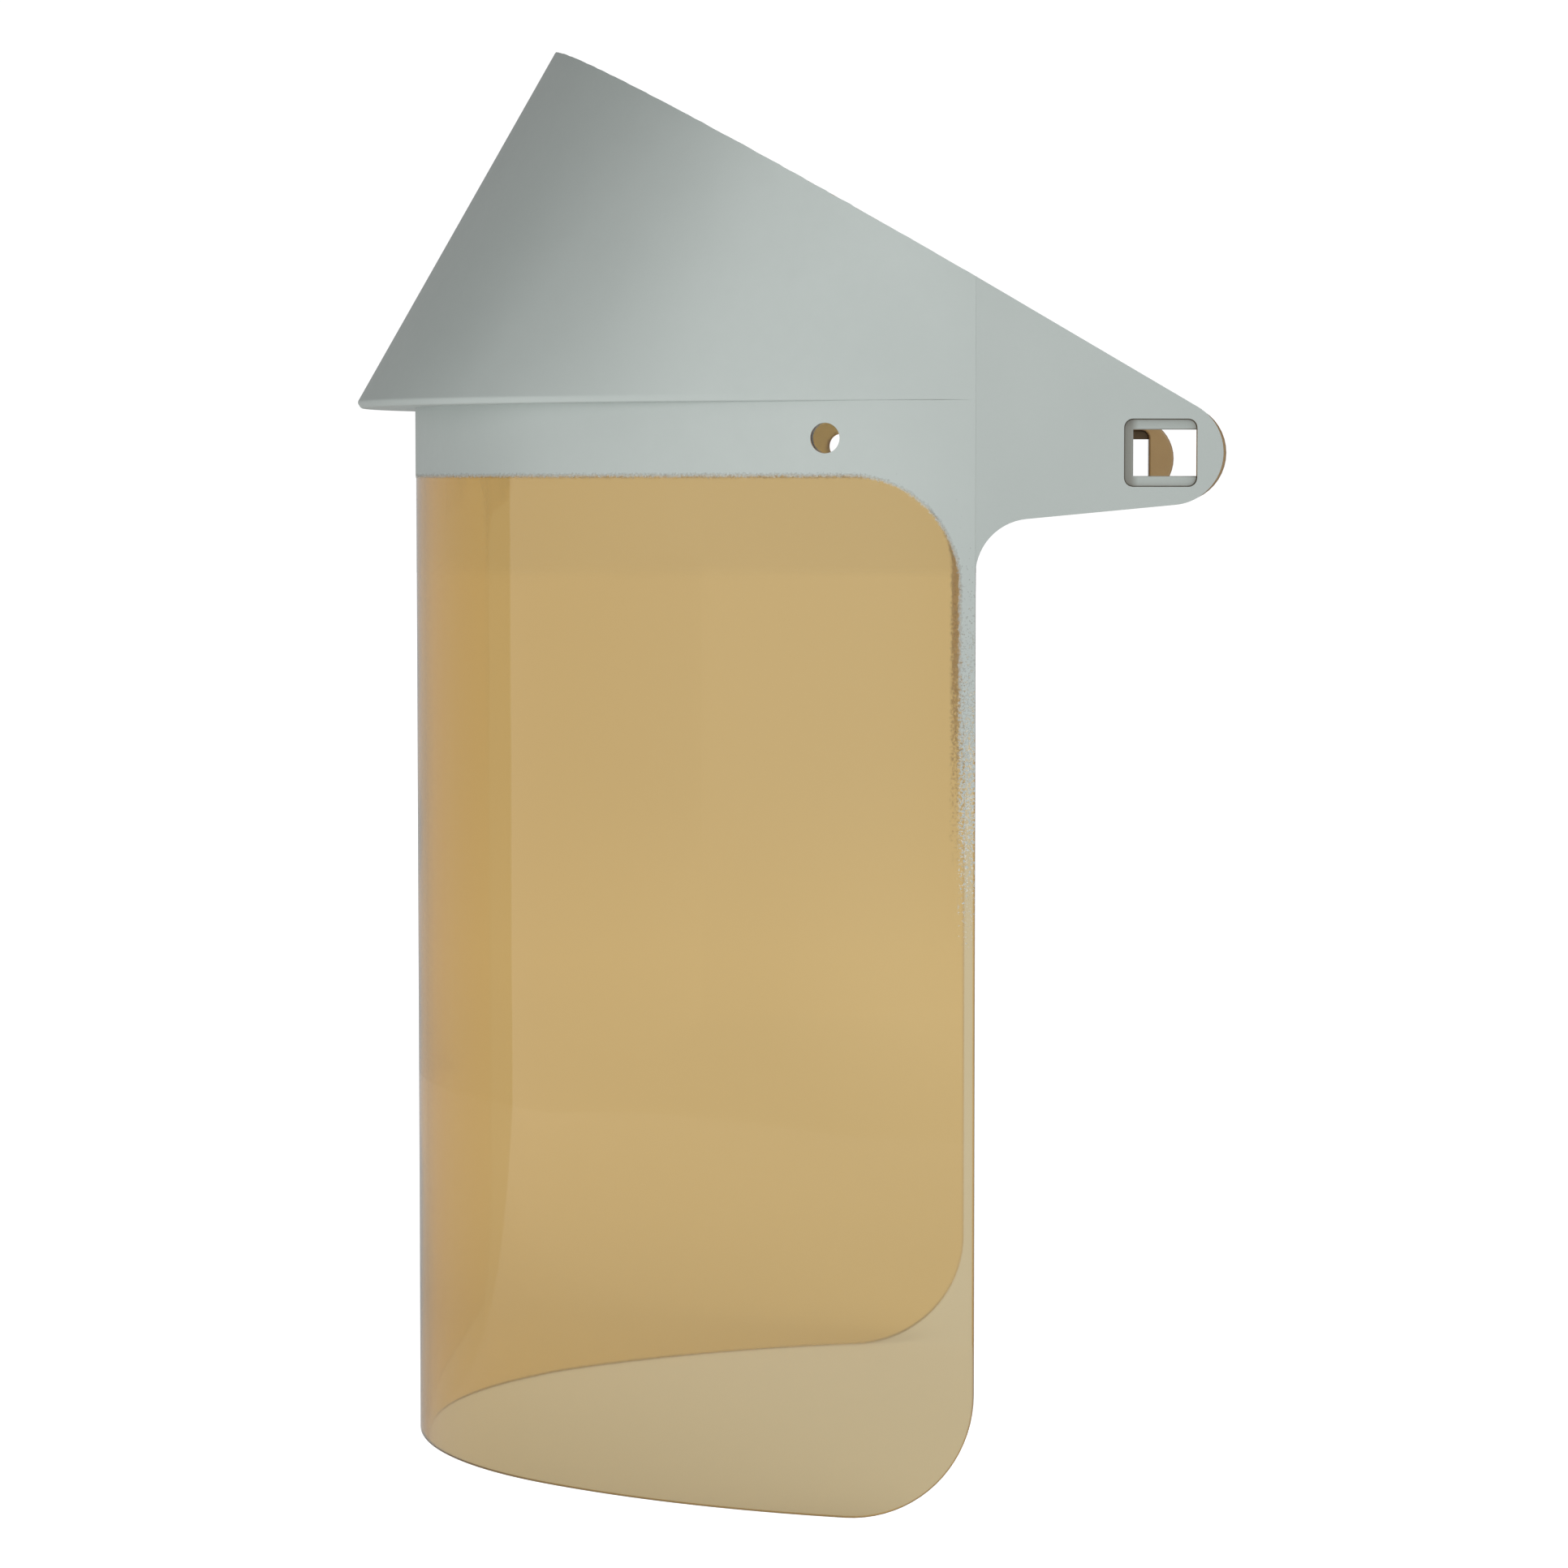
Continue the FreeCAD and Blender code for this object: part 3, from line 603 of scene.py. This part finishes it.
def film(name, line_at, stations, thick, ragged=0.0):
    lines = [line_at(place) for place in stations]
    m, n = len(lines), len(lines[0])
    outs = []
    for i in range(m):
        ahead, behind = lines[min(i + 1, m - 1)], lines[max(i - 1, 0)]
        for j in range(n):
            along = ahead[j] - behind[j]
            across = lines[i][min(j + 1, n - 1)] - lines[i][max(j - 1, 0)]
            outs.append(along.cross(across).normalized())
    flat = [p for line in lines for p in line]
    if ragged:
        for k in range(2 * n - 1, (m - 1) * n, n):
            flat[k] = flat[k] + (flat[k] - flat[k - 1]).normalized() * ragged * wander(flat[k])
    points = [p + o * thick for p, o in zip(flat, outs)] + flat
    normals = outs + [-o for o in outs]
    size, faces = m * n, []
    for i in range(m - 1):
        for j in range(n - 1):
            a, b, c, d = i * n + j, i * n + j + 1, (i + 1) * n + j + 1, (i + 1) * n + j
            faces += [[d, c, b, a], [size + a, size + b, size + c, size + d]]
    border = ([i * n for i in range(m - 1, 0, -1)] + list(range(n - 1))
              + [i * n + n - 1 for i in range(m - 1)]
              + [(m - 1) * n + j for j in range(n - 1, 0, -1)])
    for a, b in zip(border, border[1:] + border[:1]):
        faces.append([a, b, size + b, size + a])
    return make_mesh(name, points, normals, faces)


RAGGED = 0.12
crown_coat = film("crown_paint", coat_line, STATIONS, FILM * MM, RAGGED * MM)
print("coat over the hood:", len(crown_coat.data.polygons), "faces")

# %% [markdown]
# The gun also reached the shelf from below, but not its last 35 mm each side, where the shelf is
# too narrow to hold any paint. This film runs from the lens out to the lip.

# %% The coat under the brim
UNDER_END = 35
shaded = [p for p in STATIONS if on_line(LENS, p)[1] < LENS_DEPTH - UNDER_END]


def under_line(place):
    wall, low = lens_top(place, -FILM), lip(place)[0]
    return [wall] + sloped(wall, low[0], 4)


brim_coat = film("brim_paint", under_line, shaded, FILM * MM)
print("coat under the brim:", len(brim_coat.data.polygons), "faces")

# %% [markdown]
# The band on the lens was sprayed against a mask held a little off the sheet, so its lower edge is
# soft, and down each rear edge the spray thins out into specks. The sheet runs a little past that
# edge and its material fades it out.

# %% The coat on the lens
BAND_Z, BORDER_Y, BORDER_R = 235.0, LENS_DEPTH - 3.3, 25.0
BORDER_LOW, FEATHER = LENS_RISE - 122, 1.0
band_rows = [238, 242, 246]
turn_y, turn_z = BORDER_Y - BORDER_R, BAND_Z - BORDER_R
mask = quarter_turn(turn_y, turn_z, BORDER_R - FEATHER, 1, 24)
band_ring = both_sides(mask + [(along_lens(BORDER_Y - FEATHER), BORDER_LOW), (HALF_RUN, BORDER_LOW),
                               (HALF_RUN, TOP)])
band_coat = sheet("band_paint", [band_ring] + drill(HOLE_R + 0.05), -FILM, -HAIR, bend_lens,
                  lambda u, v: 0.04, LENS_STEP, lens_columns, band_rows, turns=2)
print("band coat:", len(band_coat.data.polygons), "faces")

# %% [markdown]
# ## Finishes
# Three finishes cover the shield: the clear amber sheet, the same sheet where paint behind it makes
# it golden brown, and the grey spray, which is thinner in the slots and fades out on the lens. Each
# is a small tree of nodes. These helpers add a node, set it and link it in one line, so that a
# recipe reads as a list of steps.


# %% Helpers that add nodes
def new_finish(name):
    finish = bpy.data.materials.new(name)
    finish.use_nodes = True
    tree = finish.node_tree
    return finish, tree, tree.nodes["Principled BSDF"]


def put(tree, kind, settings=(), **links):
    """Add a node, set its settings and its sockets' plain values, link the rest, and return it."""
    node = tree.nodes.new(kind)
    for key, value in dict(settings).items():
        if key in node.inputs:
            node.inputs[key].default_value = value
        else:
            setattr(node, key, value)
    for key, source in links.items():
        tree.links.new(source, node.inputs[key])
    return node


def maths(tree, operation, *values):
    """The result of one sum; each value is a number or a socket."""
    node = tree.nodes.new("ShaderNodeMath")
    node.operation = operation
    for socket, value in zip(node.inputs, values):
        if isinstance(value, (int, float)):
            socket.default_value = value
        else:
            tree.links.new(value, socket)
    return node.outputs[0]


def between(tree, value):
    """The value, held between 0 and 1."""
    return maths(tree, "MINIMUM", maths(tree, "MAXIMUM", value, 0.0), 1.0)


def rise(tree, value, start, end, low, high):
    """Goes from low to high while value goes from start to end, and stays level beyond."""
    settings = {"From Min": start, "From Max": end, "To Min": low, "To Max": high}
    return put(tree, "ShaderNodeMapRange", settings, Value=value).outputs[0]


def split(tree, vector):
    """The X, Y and Z of a vector."""
    return put(tree, "ShaderNodeSeparateXYZ", Vector=vector).outputs


def place_in(tree, space="Object"):
    return put(tree, "ShaderNodeTexCoord").outputs[space]


print("finishes before any is made:", len(bpy.data.materials))


# %% Helpers for patterns and colours
def speckle(tree, scale, detail=2.0, rough=0.5):
    """Noise fixed to the shield, with scale in waves a metre."""
    settings = {"Scale": scale, "Detail": detail, "Roughness": rough}
    return put(tree, "ShaderNodeTexNoise", settings, Vector=place_in(tree)).outputs["Fac"]


def ramp(tree, factor, low, high, low_colour, high_colour):
    node = tree.nodes.new("ShaderNodeValToRGB")
    first, last = node.color_ramp.elements
    first.position, last.position = low, high
    first.color, last.color = (*low_colour, 1), (*high_colour, 1)
    tree.links.new(factor, node.inputs[0])
    return node.outputs[0]


def bumped(tree, shader, height, distance, strength):
    settings = {"Distance": distance, "Strength": strength}
    tree.links.new(put(tree, "ShaderNodeBump", settings, Height=height).outputs[0], shader.inputs["Normal"])


def marked(tree, mark):
    """A mark stored with the sheet's points: edge or inner."""
    return put(tree, "ShaderNodeAttribute", {"attribute_name": mark}).outputs["Fac"]


def blend_colours(tree, share, first, second):
    """The first colour where share is 0, the second where it is 1; each is a colour or a socket."""
    node = tree.nodes.new("ShaderNodeMix")
    node.data_type = "RGBA"
    tree.links.new(share, node.inputs[0])
    for place, colour in ((6, first), (7, second)):
        if isinstance(colour, tuple):
            node.inputs[place].default_value = (*colour, 1)
        else:
            tree.links.new(colour, node.inputs[place])
    return node.outputs[2]


RIPPLE, RIPPLE_HEIGHT, PLASTIC_IOR = 18, 0.0004, 1.585
print("the sheet's ripple is one wave every", round(1000 / RIPPLE), "mm")

# %% [markdown]
# The amber is in the plastic, not on it. So the sheet is clear glass-like plastic with colour taken
# out along the way through it: two millimetres take a fifth of the green and half of the blue. At
# an edge light has run through far more of it and comes out deep orange; on top of that the edge
# mark paints the surface deep orange there, as painted shade along every rounded edge. The surface
# has the faint ripple and haze of a moulded sheet.

# %% Clear amber plastic
COLOUR_LEFT, COLOUR_DEPTH = (0.975, 0.72, 0.01), 365.0
CLEAR, EDGE_SHADE_ORANGE = (1, 1, 1), (0.40, 0.21, 0.09)
amber, tree, shader = new_finish("clear_amber")
# Painted shade: the edge mark tints the base colour deep orange along every rounded edge.
edge_shade_share = maths(tree, "MULTIPLY", marked(tree, "edge"), 0.9)
tree.links.new(blend_colours(tree, edge_shade_share, CLEAR, EDGE_SHADE_ORANGE), shader.inputs["Base Color"])
shader.inputs["Transmission Weight"].default_value = 1.0
shader.inputs["IOR"].default_value = PLASTIC_IOR
tree.links.new(maths(tree, "MULTIPLY_ADD", speckle(tree, 14, 3.0), 0.05, 0.0), shader.inputs["Roughness"])
bumped(tree, shader, speckle(tree, RIPPLE, 1.0), RIPPLE_HEIGHT, 0.35)
settings = {"Color": (*COLOUR_LEFT, 1), "Density": COLOUR_DEPTH}
soak = put(tree, "ShaderNodeVolumeAbsorption", settings)
tree.links.new(soak.outputs[0], tree.nodes["Material Output"].inputs["Volume"])
taken = [round(1 - math.exp(-COLOUR_DEPTH * (1 - c) * WALL * MM), 2) for c in COLOUR_LEFT]
print("amber takes", taken, "of red, green and blue in one pass")

# %% [markdown]
# Where the outside is sprayed, the sheet seen from inside is golden brown: light goes through the
# amber, meets the back of the paint, and comes out through the amber again. The paint's back is a
# little uneven, and the surface above it is smooth and shiny. Along the rounded edges of the wings
# and pads the edge mark turns it a deep brown: the bare cut plastic there, with painted shade on it.

# %% Amber plastic over the back of the paint
GOLD, PALE_GOLD, CUT_EDGE_AND_SHADE_BROWN = (0.40, 0.268, 0.128), (0.46, 0.315, 0.155), (0.20, 0.105, 0.035)
backed, tree, shader = new_finish("amber_over_paint")
cloud = ramp(tree, speckle(tree, 60, 4.0, 0.6), 0.3, 0.7, GOLD, PALE_GOLD)
# Painted shade along the edges, over the bare cut plastic: the edge mark blends in a deep brown.
edge_shade_share = maths(tree, "MULTIPLY", marked(tree, "edge"), 0.85)
tree.links.new(blend_colours(tree, edge_shade_share, cloud, CUT_EDGE_AND_SHADE_BROWN), shader.inputs["Base Color"])
shader.inputs["IOR"].default_value = PLASTIC_IOR
gloss = maths(tree, "MULTIPLY_ADD", speckle(tree, 25, 3.0), 0.12, 0.08)
tree.links.new(gloss, shader.inputs["Roughness"])
bumped(tree, shader, speckle(tree, RIPPLE, 1.0), RIPPLE_HEIGHT, 0.3)
print("finish:", backed.name)

# %% [markdown]
# The spray is a satin grey with a little green in it, and a little metal flake, which gives it the
# broad soft sheen across the hood. Close to, it has the fine pebble of paint that dried before it
# levelled, and its colour drifts slightly where passes of the gun overlapped.


# %% Grey spray
def grey_spray(name, low, high):
    finish, tree, shader = new_finish(name)
    drift = speckle(tree, 22, 3.0)
    tree.links.new(ramp(tree, drift, 0.35, 0.65, low, high), shader.inputs["Base Color"])
    shader.inputs["IOR"].default_value = 1.48
    shader.inputs["Metallic"].default_value = 0.3
    satin = maths(tree, "MULTIPLY_ADD", speckle(tree, 400, 2.0), 0.12, 0.40)
    tree.links.new(satin, shader.inputs["Roughness"])
    coarse = maths(tree, "MULTIPLY", speckle(tree, 900, 2.0), 0.7)
    fine = maths(tree, "MULTIPLY", speckle(tree, 3000, 1.0), 0.3)
    bumped(tree, shader, maths(tree, "ADD", coarse, fine), 0.00008, 0.35)
    return finish, tree, shader


def over_grey(tree, shader, share, colour):
    """Blend another colour over the grey that is already linked."""
    grey = shader.inputs["Base Color"].links[0].from_socket
    tree.links.new(blend_colours(tree, share, grey, colour), shader.inputs["Base Color"])


GREY, PALE_GREY = (0.480, 0.528, 0.507), (0.500, 0.548, 0.527)
spray, _, _ = grey_spray("grey_spray", GREY, PALE_GREY)
print("finish:", spray.name)

# %% [markdown]
# The rails sit deep in the slot, where the gun hardly reached: their inner side stays bare sheet,
# their edges are half covered, and the front one is thin with paint. Where the sheet shows, it is
# given a brown far darker than its golden brown elsewhere: the bare plastic, with painted shade of
# the deep slot on it.

# %% Grey spray in the slot
# Painted shade: this brown is darkened for the shadow deep in the slot, over the bare plastic's colour.
BARE_AND_SHADED_BROWN = (0.10, 0.066, 0.03)
rail_spray, tree, shader = grey_spray("grey_spray_in_slot", (0.45, 0.495, 0.47), (0.49, 0.535, 0.51))
# Painted shade on the rails' inner side, on part of their edges and on the front rail.
bare_and_shaded = maths(tree, "MAXIMUM", marked(tree, "inner"), maths(tree, "MULTIPLY", marked(tree, "edge"), 0.4))
thin_from, thin_to = (FRONT_Y + front + 1.6) * MM, (FRONT_Y + front + 3.2) * MM
front_part = rise(tree, split(tree, place_in(tree))["Y"], thin_from, thin_to, 0.5, 0.0)
over_grey(tree, shader, maths(tree, "MAXIMUM", bare_and_shaded, front_part), BARE_AND_SHADED_BROWN)
print("finish:", rail_spray.name)

# %% [markdown]
# The band's spray fades at its border. The distance past the border's rounded corner decides how
# much paint is left, and grit breaks that edge up. Towards the foot of the border the paint thins
# into separate specks. Seen from behind, through the amber, the paint's back is given a pale,
# near-white grey, far lighter than its front: painted light, for the light that falls on it inside
# the shield.

# %% Grey spray that fades out at its edge
SPECK_RUN, SPECK_LOW = 75, 132
faded, tree, shader = grey_spray("grey_spray_faded", GREY, PALE_GREY)
# Painted light: the paint's inner side is made near-white to stand in for light falling on it inside the
# shield.
over_grey(tree, shader, marked(tree, "inner"), (0.84, 0.87, 0.83))
spot = split(tree, place_in(tree))
across = maths(tree, "MULTIPLY_ADD", spot["Y"], 1 / MM, -(FRONT_Y + turn_y))
upward = maths(tree, "MULTIPLY_ADD", spot["Z"], 1 / MM, -turn_z)
out_y, out_z = maths(tree, "MAXIMUM", across, 0.0), maths(tree, "MAXIMUM", upward, 0.0)
squares = [maths(tree, "MULTIPLY", out, out) for out in (out_y, out_z)]
round_part = maths(tree, "SQRT", maths(tree, "ADD", *squares))
flat_part = maths(tree, "MINIMUM", maths(tree, "MAXIMUM", across, upward), 0.0)
past_edge = maths(tree, "SUBTRACT", maths(tree, "ADD", round_part, flat_part), BORDER_R)
grit = maths(tree, "SUBTRACT", speckle(tree, 1600, 2.0, 0.7), 0.5)
fringe = maths(tree, "MULTIPLY_ADD", maths(tree, "MULTIPLY_ADD", grit, 1.6, past_edge), 0.9, 0.5)
thinning = maths(tree, "MULTIPLY_ADD", spot["Z"], 1 / SPECK_RUN / MM, -SPECK_LOW / SPECK_RUN)
specks = maths(tree, "MULTIPLY_ADD", grit, 2.6, maths(tree, "SUBTRACT", thinning, 0.5))
specks = maths(tree, "MULTIPLY_ADD", specks, 2.2, 0.5)
cover = maths(tree, "MULTIPLY", between(tree, fringe), between(tree, specks))
tree.links.new(cover, shader.inputs["Alpha"])
print("finish:", faded.name, "of", len(tree.nodes), "nodes")

# %% [markdown]
# ## Hang every piece on the part
# Each piece rides on the part's one body, stands for its CAD node and takes a finish.

# %% Ride, replace and finish
SHEET, COAT = "tinted_polycarbonate", "grey_coat"
finished = {"lens_panel": (lens_panel, amber, SHEET), "brim_ledge": (brim_ledge, backed, SHEET),
            "crown_shell": (crown_shell, backed, SHEET), "crown_coat": (crown_coat, spray, COAT),
            "brim_coat": (brim_coat, spray, COAT), "band_coat": (band_coat, faded, COAT)}
for node, piece in wing_pieces.items():
    if node.endswith("rail"):
        finished[node] = (piece, rail_spray, COAT)
    else:
        finished[node] = (piece, spray, COAT) if node.endswith("coat") else (piece, backed, SHEET)
for node, (piece, look, slot) in finished.items():
    piece.data.materials.append(look)
    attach(piece, "root")
    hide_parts(node)
print("pieces:", len(finished))

# %% [markdown]
# ## Studio
# A clear sheet shows what lies behind it and mirrors what stands before it, so the room is part of
# its look. The shield stands on a pale table that glows a little by itself, which keeps the shadow
# soft. Its brighter patch ahead, to one side, is what the window's lower part mirrors, and it is
# left out of what is seen through the sheet. The camera sees the table plain white.

# %% Table
TABLE_HALF, TABLE_DROP = 12.0, 0.0002
corners = [(x * TABLE_HALF, y * TABLE_HALF, -TABLE_DROP) for x, y in ((-1, -1), (1, -1), (1, 1), (-1, 1))]
table_mesh = bpy.data.meshes.new("floor")
table_mesh.from_pydata(corners, [], [(0, 1, 2, 3)])
table = bpy.data.objects.new("floor", table_mesh)
bpy.context.scene.collection.objects.link(table)
table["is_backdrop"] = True
print("table:", 2 * TABLE_HALF, "m square")

# %% The table's glow
NEAR_GLOW, FAR_GLOW, CAMERA_GLOW, PATCH_GLOW = 0.345, 0.425, 0.7, 0.5
PATCH_X, PATCH_Y, PATCH_START, PATCH_RUN = 0.8, 0.6, 0.05, 0.3
paper, tree, shader = new_finish("white_table")
shader.inputs["Base Color"].default_value = (0.38, 0.38, 0.377, 1)
shader.inputs["Roughness"].default_value = 0.9
shader.inputs["Emission Color"].default_value = (1, 1, 1, 1)
spot = place_in(tree)
away = tree.nodes.new("ShaderNodeVectorMath")
away.operation = "LENGTH"
tree.links.new(spot, away.inputs[0])
away, place = away.outputs["Value"], split(tree, spot)
glow = maths(tree, "ADD", rise(tree, away, 0.25, 1.2, NEAR_GLOW, FAR_GLOW),
             rise(tree, away, 1.2, 4.0, 0.0, 0.01))
ahead = maths(tree, "SUBTRACT", maths(tree, "MULTIPLY", place["X"], PATCH_X),
              maths(tree, "MULTIPLY", place["Y"], PATCH_Y))
patch = rise(tree, ahead, PATCH_START, PATCH_START + PATCH_RUN, 0.0, PATCH_GLOW)
patch = maths(tree, "MULTIPLY", patch, rise(tree, place["X"], -0.004, 0.0, 0.0, 1.0))
path = put(tree, "ShaderNodeLightPath").outputs
patch = maths(tree, "MULTIPLY", patch, maths(tree, "SUBTRACT", 1.0, path["Is Transmission Ray"]))
glow = maths(tree, "ADD", glow, patch)
glow = maths(tree, "MULTIPLY_ADD", path["Is Camera Ray"], CAMERA_GLOW, glow)
tree.links.new(glow, shader.inputs["Emission Strength"])
table_mesh.materials.append(paper)
print("finish:", paper.name)

# %% [markdown]
# The room is a pale haze, brightest at the horizon, with more light from the side that shows the
# wing and a little from the far side above. It lights the hood's front less than its sides, which
# lets the satin paint turn darker round the brow. The camera sees it plain white.

# %% Light from all round
HORIZON, ZENITH, BROW_SHADE = 0.50, 0.05, 0.9
SIDE_X, SIDE_Y, SIDE_GLOW, FAR_SIDE_GLOW, BACKDROP = 0.95, 0.30, 0.45, 0.45, 1.05
world = bpy.data.worlds.new("studio")
world.use_nodes = True
world.cycles.sampling_method = "NONE"
bpy.context.scene.world = world
tree = world.node_tree
sky = tree.nodes["Background"]
sky.inputs["Color"].default_value = (1, 1, 1, 1)
toward = split(tree, place_in(tree, "Generated"))
path = put(tree, "ShaderNodeLightPath").outputs
brow = maths(tree, "MAXIMUM", maths(tree, "MULTIPLY", toward["Y"], -BROW_SHADE), 0.0)
shading = maths(tree, "SUBTRACT", 1.0, maths(tree, "MULTIPLY", path["Is Diffuse Ray"], brow))
haze = maths(tree, "MULTIPLY", rise(tree, toward["Z"], 0.05, 0.45, HORIZON, ZENITH), shading)
to_side = maths(tree, "ADD", maths(tree, "MULTIPLY", toward["X"], SIDE_X),
                maths(tree, "MULTIPLY", toward["Y"], SIDE_Y))
side = maths(tree, "MULTIPLY", maths(tree, "MAXIMUM", to_side, 0.0), SIDE_GLOW)
far = maths(tree, "MAXIMUM", maths(tree, "MULTIPLY", toward["X"], -FAR_SIDE_GLOW), 0.0)
far = maths(tree, "MULTIPLY", far, maths(tree, "MAXIMUM", toward["Z"], 0.0))
seen_through = maths(tree, "SUBTRACT", 1.0, path["Is Transmission Ray"])
side = maths(tree, "MULTIPLY", maths(tree, "ADD", side, far), seen_through)
backdrop = maths(tree, "MULTIPLY", path["Is Camera Ray"], BACKDROP)
level = maths(tree, "MAXIMUM", backdrop, maths(tree, "ADD", haze, side))
tree.links.new(level, sky.inputs["Strength"])
print("light from all round:", world.name)

# %% [markdown]
# One soft lamp stands high behind the shield's left. It gives the wing and the hood's side their
# light, and the table its shadow.

# %% Lamp
LAMP_PLACE, LAMP_AIM, LAMP_SIZE, LAMP_POWER = Vector((0.85, 0.9, 1.45)), Vector((0, 0, 0.2)), 1.2, 15.0
lamp = bpy.data.lights.new("side_panel", "AREA")
lamp.shape, lamp.energy = "RECTANGLE", LAMP_POWER
lamp.size = lamp.size_y = LAMP_SIZE
panel = bpy.data.objects.new("side_panel", lamp)
panel.location = LAMP_PLACE
panel.rotation_mode = "QUATERNION"
panel.rotation_quaternion = (LAMP_AIM - LAMP_PLACE).to_track_quat("-Z", "Y")
panel.visible_camera = False
bpy.context.scene.collection.objects.link(panel)
print("lamp:", round((LAMP_AIM - LAMP_PLACE).length, 2), "m away")

# %% [markdown]
# Two curved cards stand round the shield, out of the camera's sight. The bright one is a bounce
# wall on the left, and the other a grey flag on the right. Where they meet, straight ahead, the
# window mirrors an upright line, clear on one side and pale on the other. Both fade into the table
# at their foot, so that the window shows no step there.


# %% A curved card
CARD_R, CARD_SHIFT, CARD_COLUMNS = 0.75, 0.002, 60
CARD_ROWS = (0.0, 0.15, 0.3, 0.6, 1.0)


def eased(t):
    t = min(max(t, 0.0), 1.0)
    return t * t * (3 - 2 * t)


def curved_card(name, first, last, top_at, glow_at):
    """A lit card between two turns from straight ahead, in degrees."""
    points, faces, glow, rows = [], [], [], len(CARD_ROWS)
    for i in range(CARD_COLUMNS + 1):
        turn = first + (last - first) * i / CARD_COLUMNS
        x = CARD_R * math.sin(math.radians(turn)) - CARD_SHIFT
        y = -CARD_R * math.cos(math.radians(turn))
        for share in CARD_ROWS:
            points.append((x, y, share * top_at(turn)))
            glow.append(glow_at(turn, share * top_at(turn)))
    for i in range(CARD_COLUMNS):
        for j in range(rows - 1):
            a, b = i * rows + j, (i + 1) * rows + j
            faces.append((a, b, b + 1, a + 1))
    mesh = bpy.data.meshes.new(name)
    mesh.from_pydata(points, [], faces)
    mesh.attributes.new("glow", "FLOAT", "POINT").data.foreach_set("value", glow)
    card = bpy.data.objects.new(name, mesh)
    card.visible_camera = card.visible_transmission = False
    bpy.context.scene.collection.objects.link(card)
    card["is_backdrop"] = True
    return card


print("half way, eased gives", eased(0.5))


# %% Cards round the shield
def wall_top(turn):
    return 0.3 + 0.5 * eased((turn - 10) / 40)


def wall_glow(turn, height):
    """Brightest from 50 to 68 degrees, then darker, and as bright as the table at its foot."""
    bright = 1.05 + 0.2 * eased((turn - 10) / 40) - 0.6 * eased((turn - 68) / 32)
    bright += (0.8 - bright) * eased((turn - 110) / 40)
    ahead = CARD_R * (PATCH_X * math.sin(math.radians(turn)) + PATCH_Y * math.cos(math.radians(turn)))
    foot = 0.6 + PATCH_GLOW * min(max((ahead - PATCH_START) / PATCH_RUN, 0), 1)
    return foot + (bright - foot) * eased(height / 0.16)


def flag_glow(turn, height):
    """A little darker than the haze, fading into it at its foot and at its far end."""
    return HORIZON - 0.13 * eased(height / 0.2) * (1 - eased((-15 - turn) / 30))


bounce_wall = curved_card("bounce_wall", 0, 150, wall_top, wall_glow)
dark_flag = curved_card("dark_flag", -75, -0.5, lambda turn: 0.4, flag_glow)
dark_flag.visible_diffuse = False
card, tree, shader = new_finish("lit_card")
shader.inputs["Base Color"].default_value = (0, 0, 0, 1)
shader.inputs["Roughness"].default_value = 1.0
shader.inputs["Emission Color"].default_value = (1, 1, 1, 1)
tree.links.new(marked(tree, "glow"), shader.inputs["Emission Strength"])
for piece in (bounce_wall, dark_flag):
    piece.data.materials.append(card)
print("cards:", bounce_wall.name, dark_flag.name)

# %% [markdown]
# The camera looks at the shield's left side, a little down and a little towards the front, through
# a long lens, which keeps the shield's outline nearly free of perspective.

# %% Camera
CAMERA_AWAY, CAMERA_BACK, CAMERA_HIGH = 1.2, 122.0, 0.2324
YAW, PITCH = 0.0265, 0.061
camera = bpy.data.objects.new("camera", bpy.data.cameras.new("camera"))
bpy.context.scene.collection.objects.link(camera)
bpy.context.scene.camera = camera
camera.data.sensor_width, camera.data.lens = 36.0, 111.8
camera.data.clip_start, camera.data.clip_end = 0.05, 50.0
camera.location = (CAMERA_AWAY, CAMERA_BACK * MM + FRONT_Y * MM, CAMERA_HIGH)
sight = Vector((-math.cos(YAW) * math.cos(PITCH), -math.sin(YAW) * math.cos(PITCH), -math.sin(PITCH)))
camera.rotation_mode = "QUATERNION"
camera.rotation_quaternion = sight.to_track_quat("-Z", "Y")
bpy.context.scene.view_settings.view_transform = "Standard"
print("camera at", [round(v, 4) for v in camera.location])

# %% [markdown]
# Last, the finished model's box is printed, because the pieces built here have to stay inside the
# part's own size.

# %% Measure and finish
low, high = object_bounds()
print("visual box:", [round(v, 4) for v in (*low, *high)])
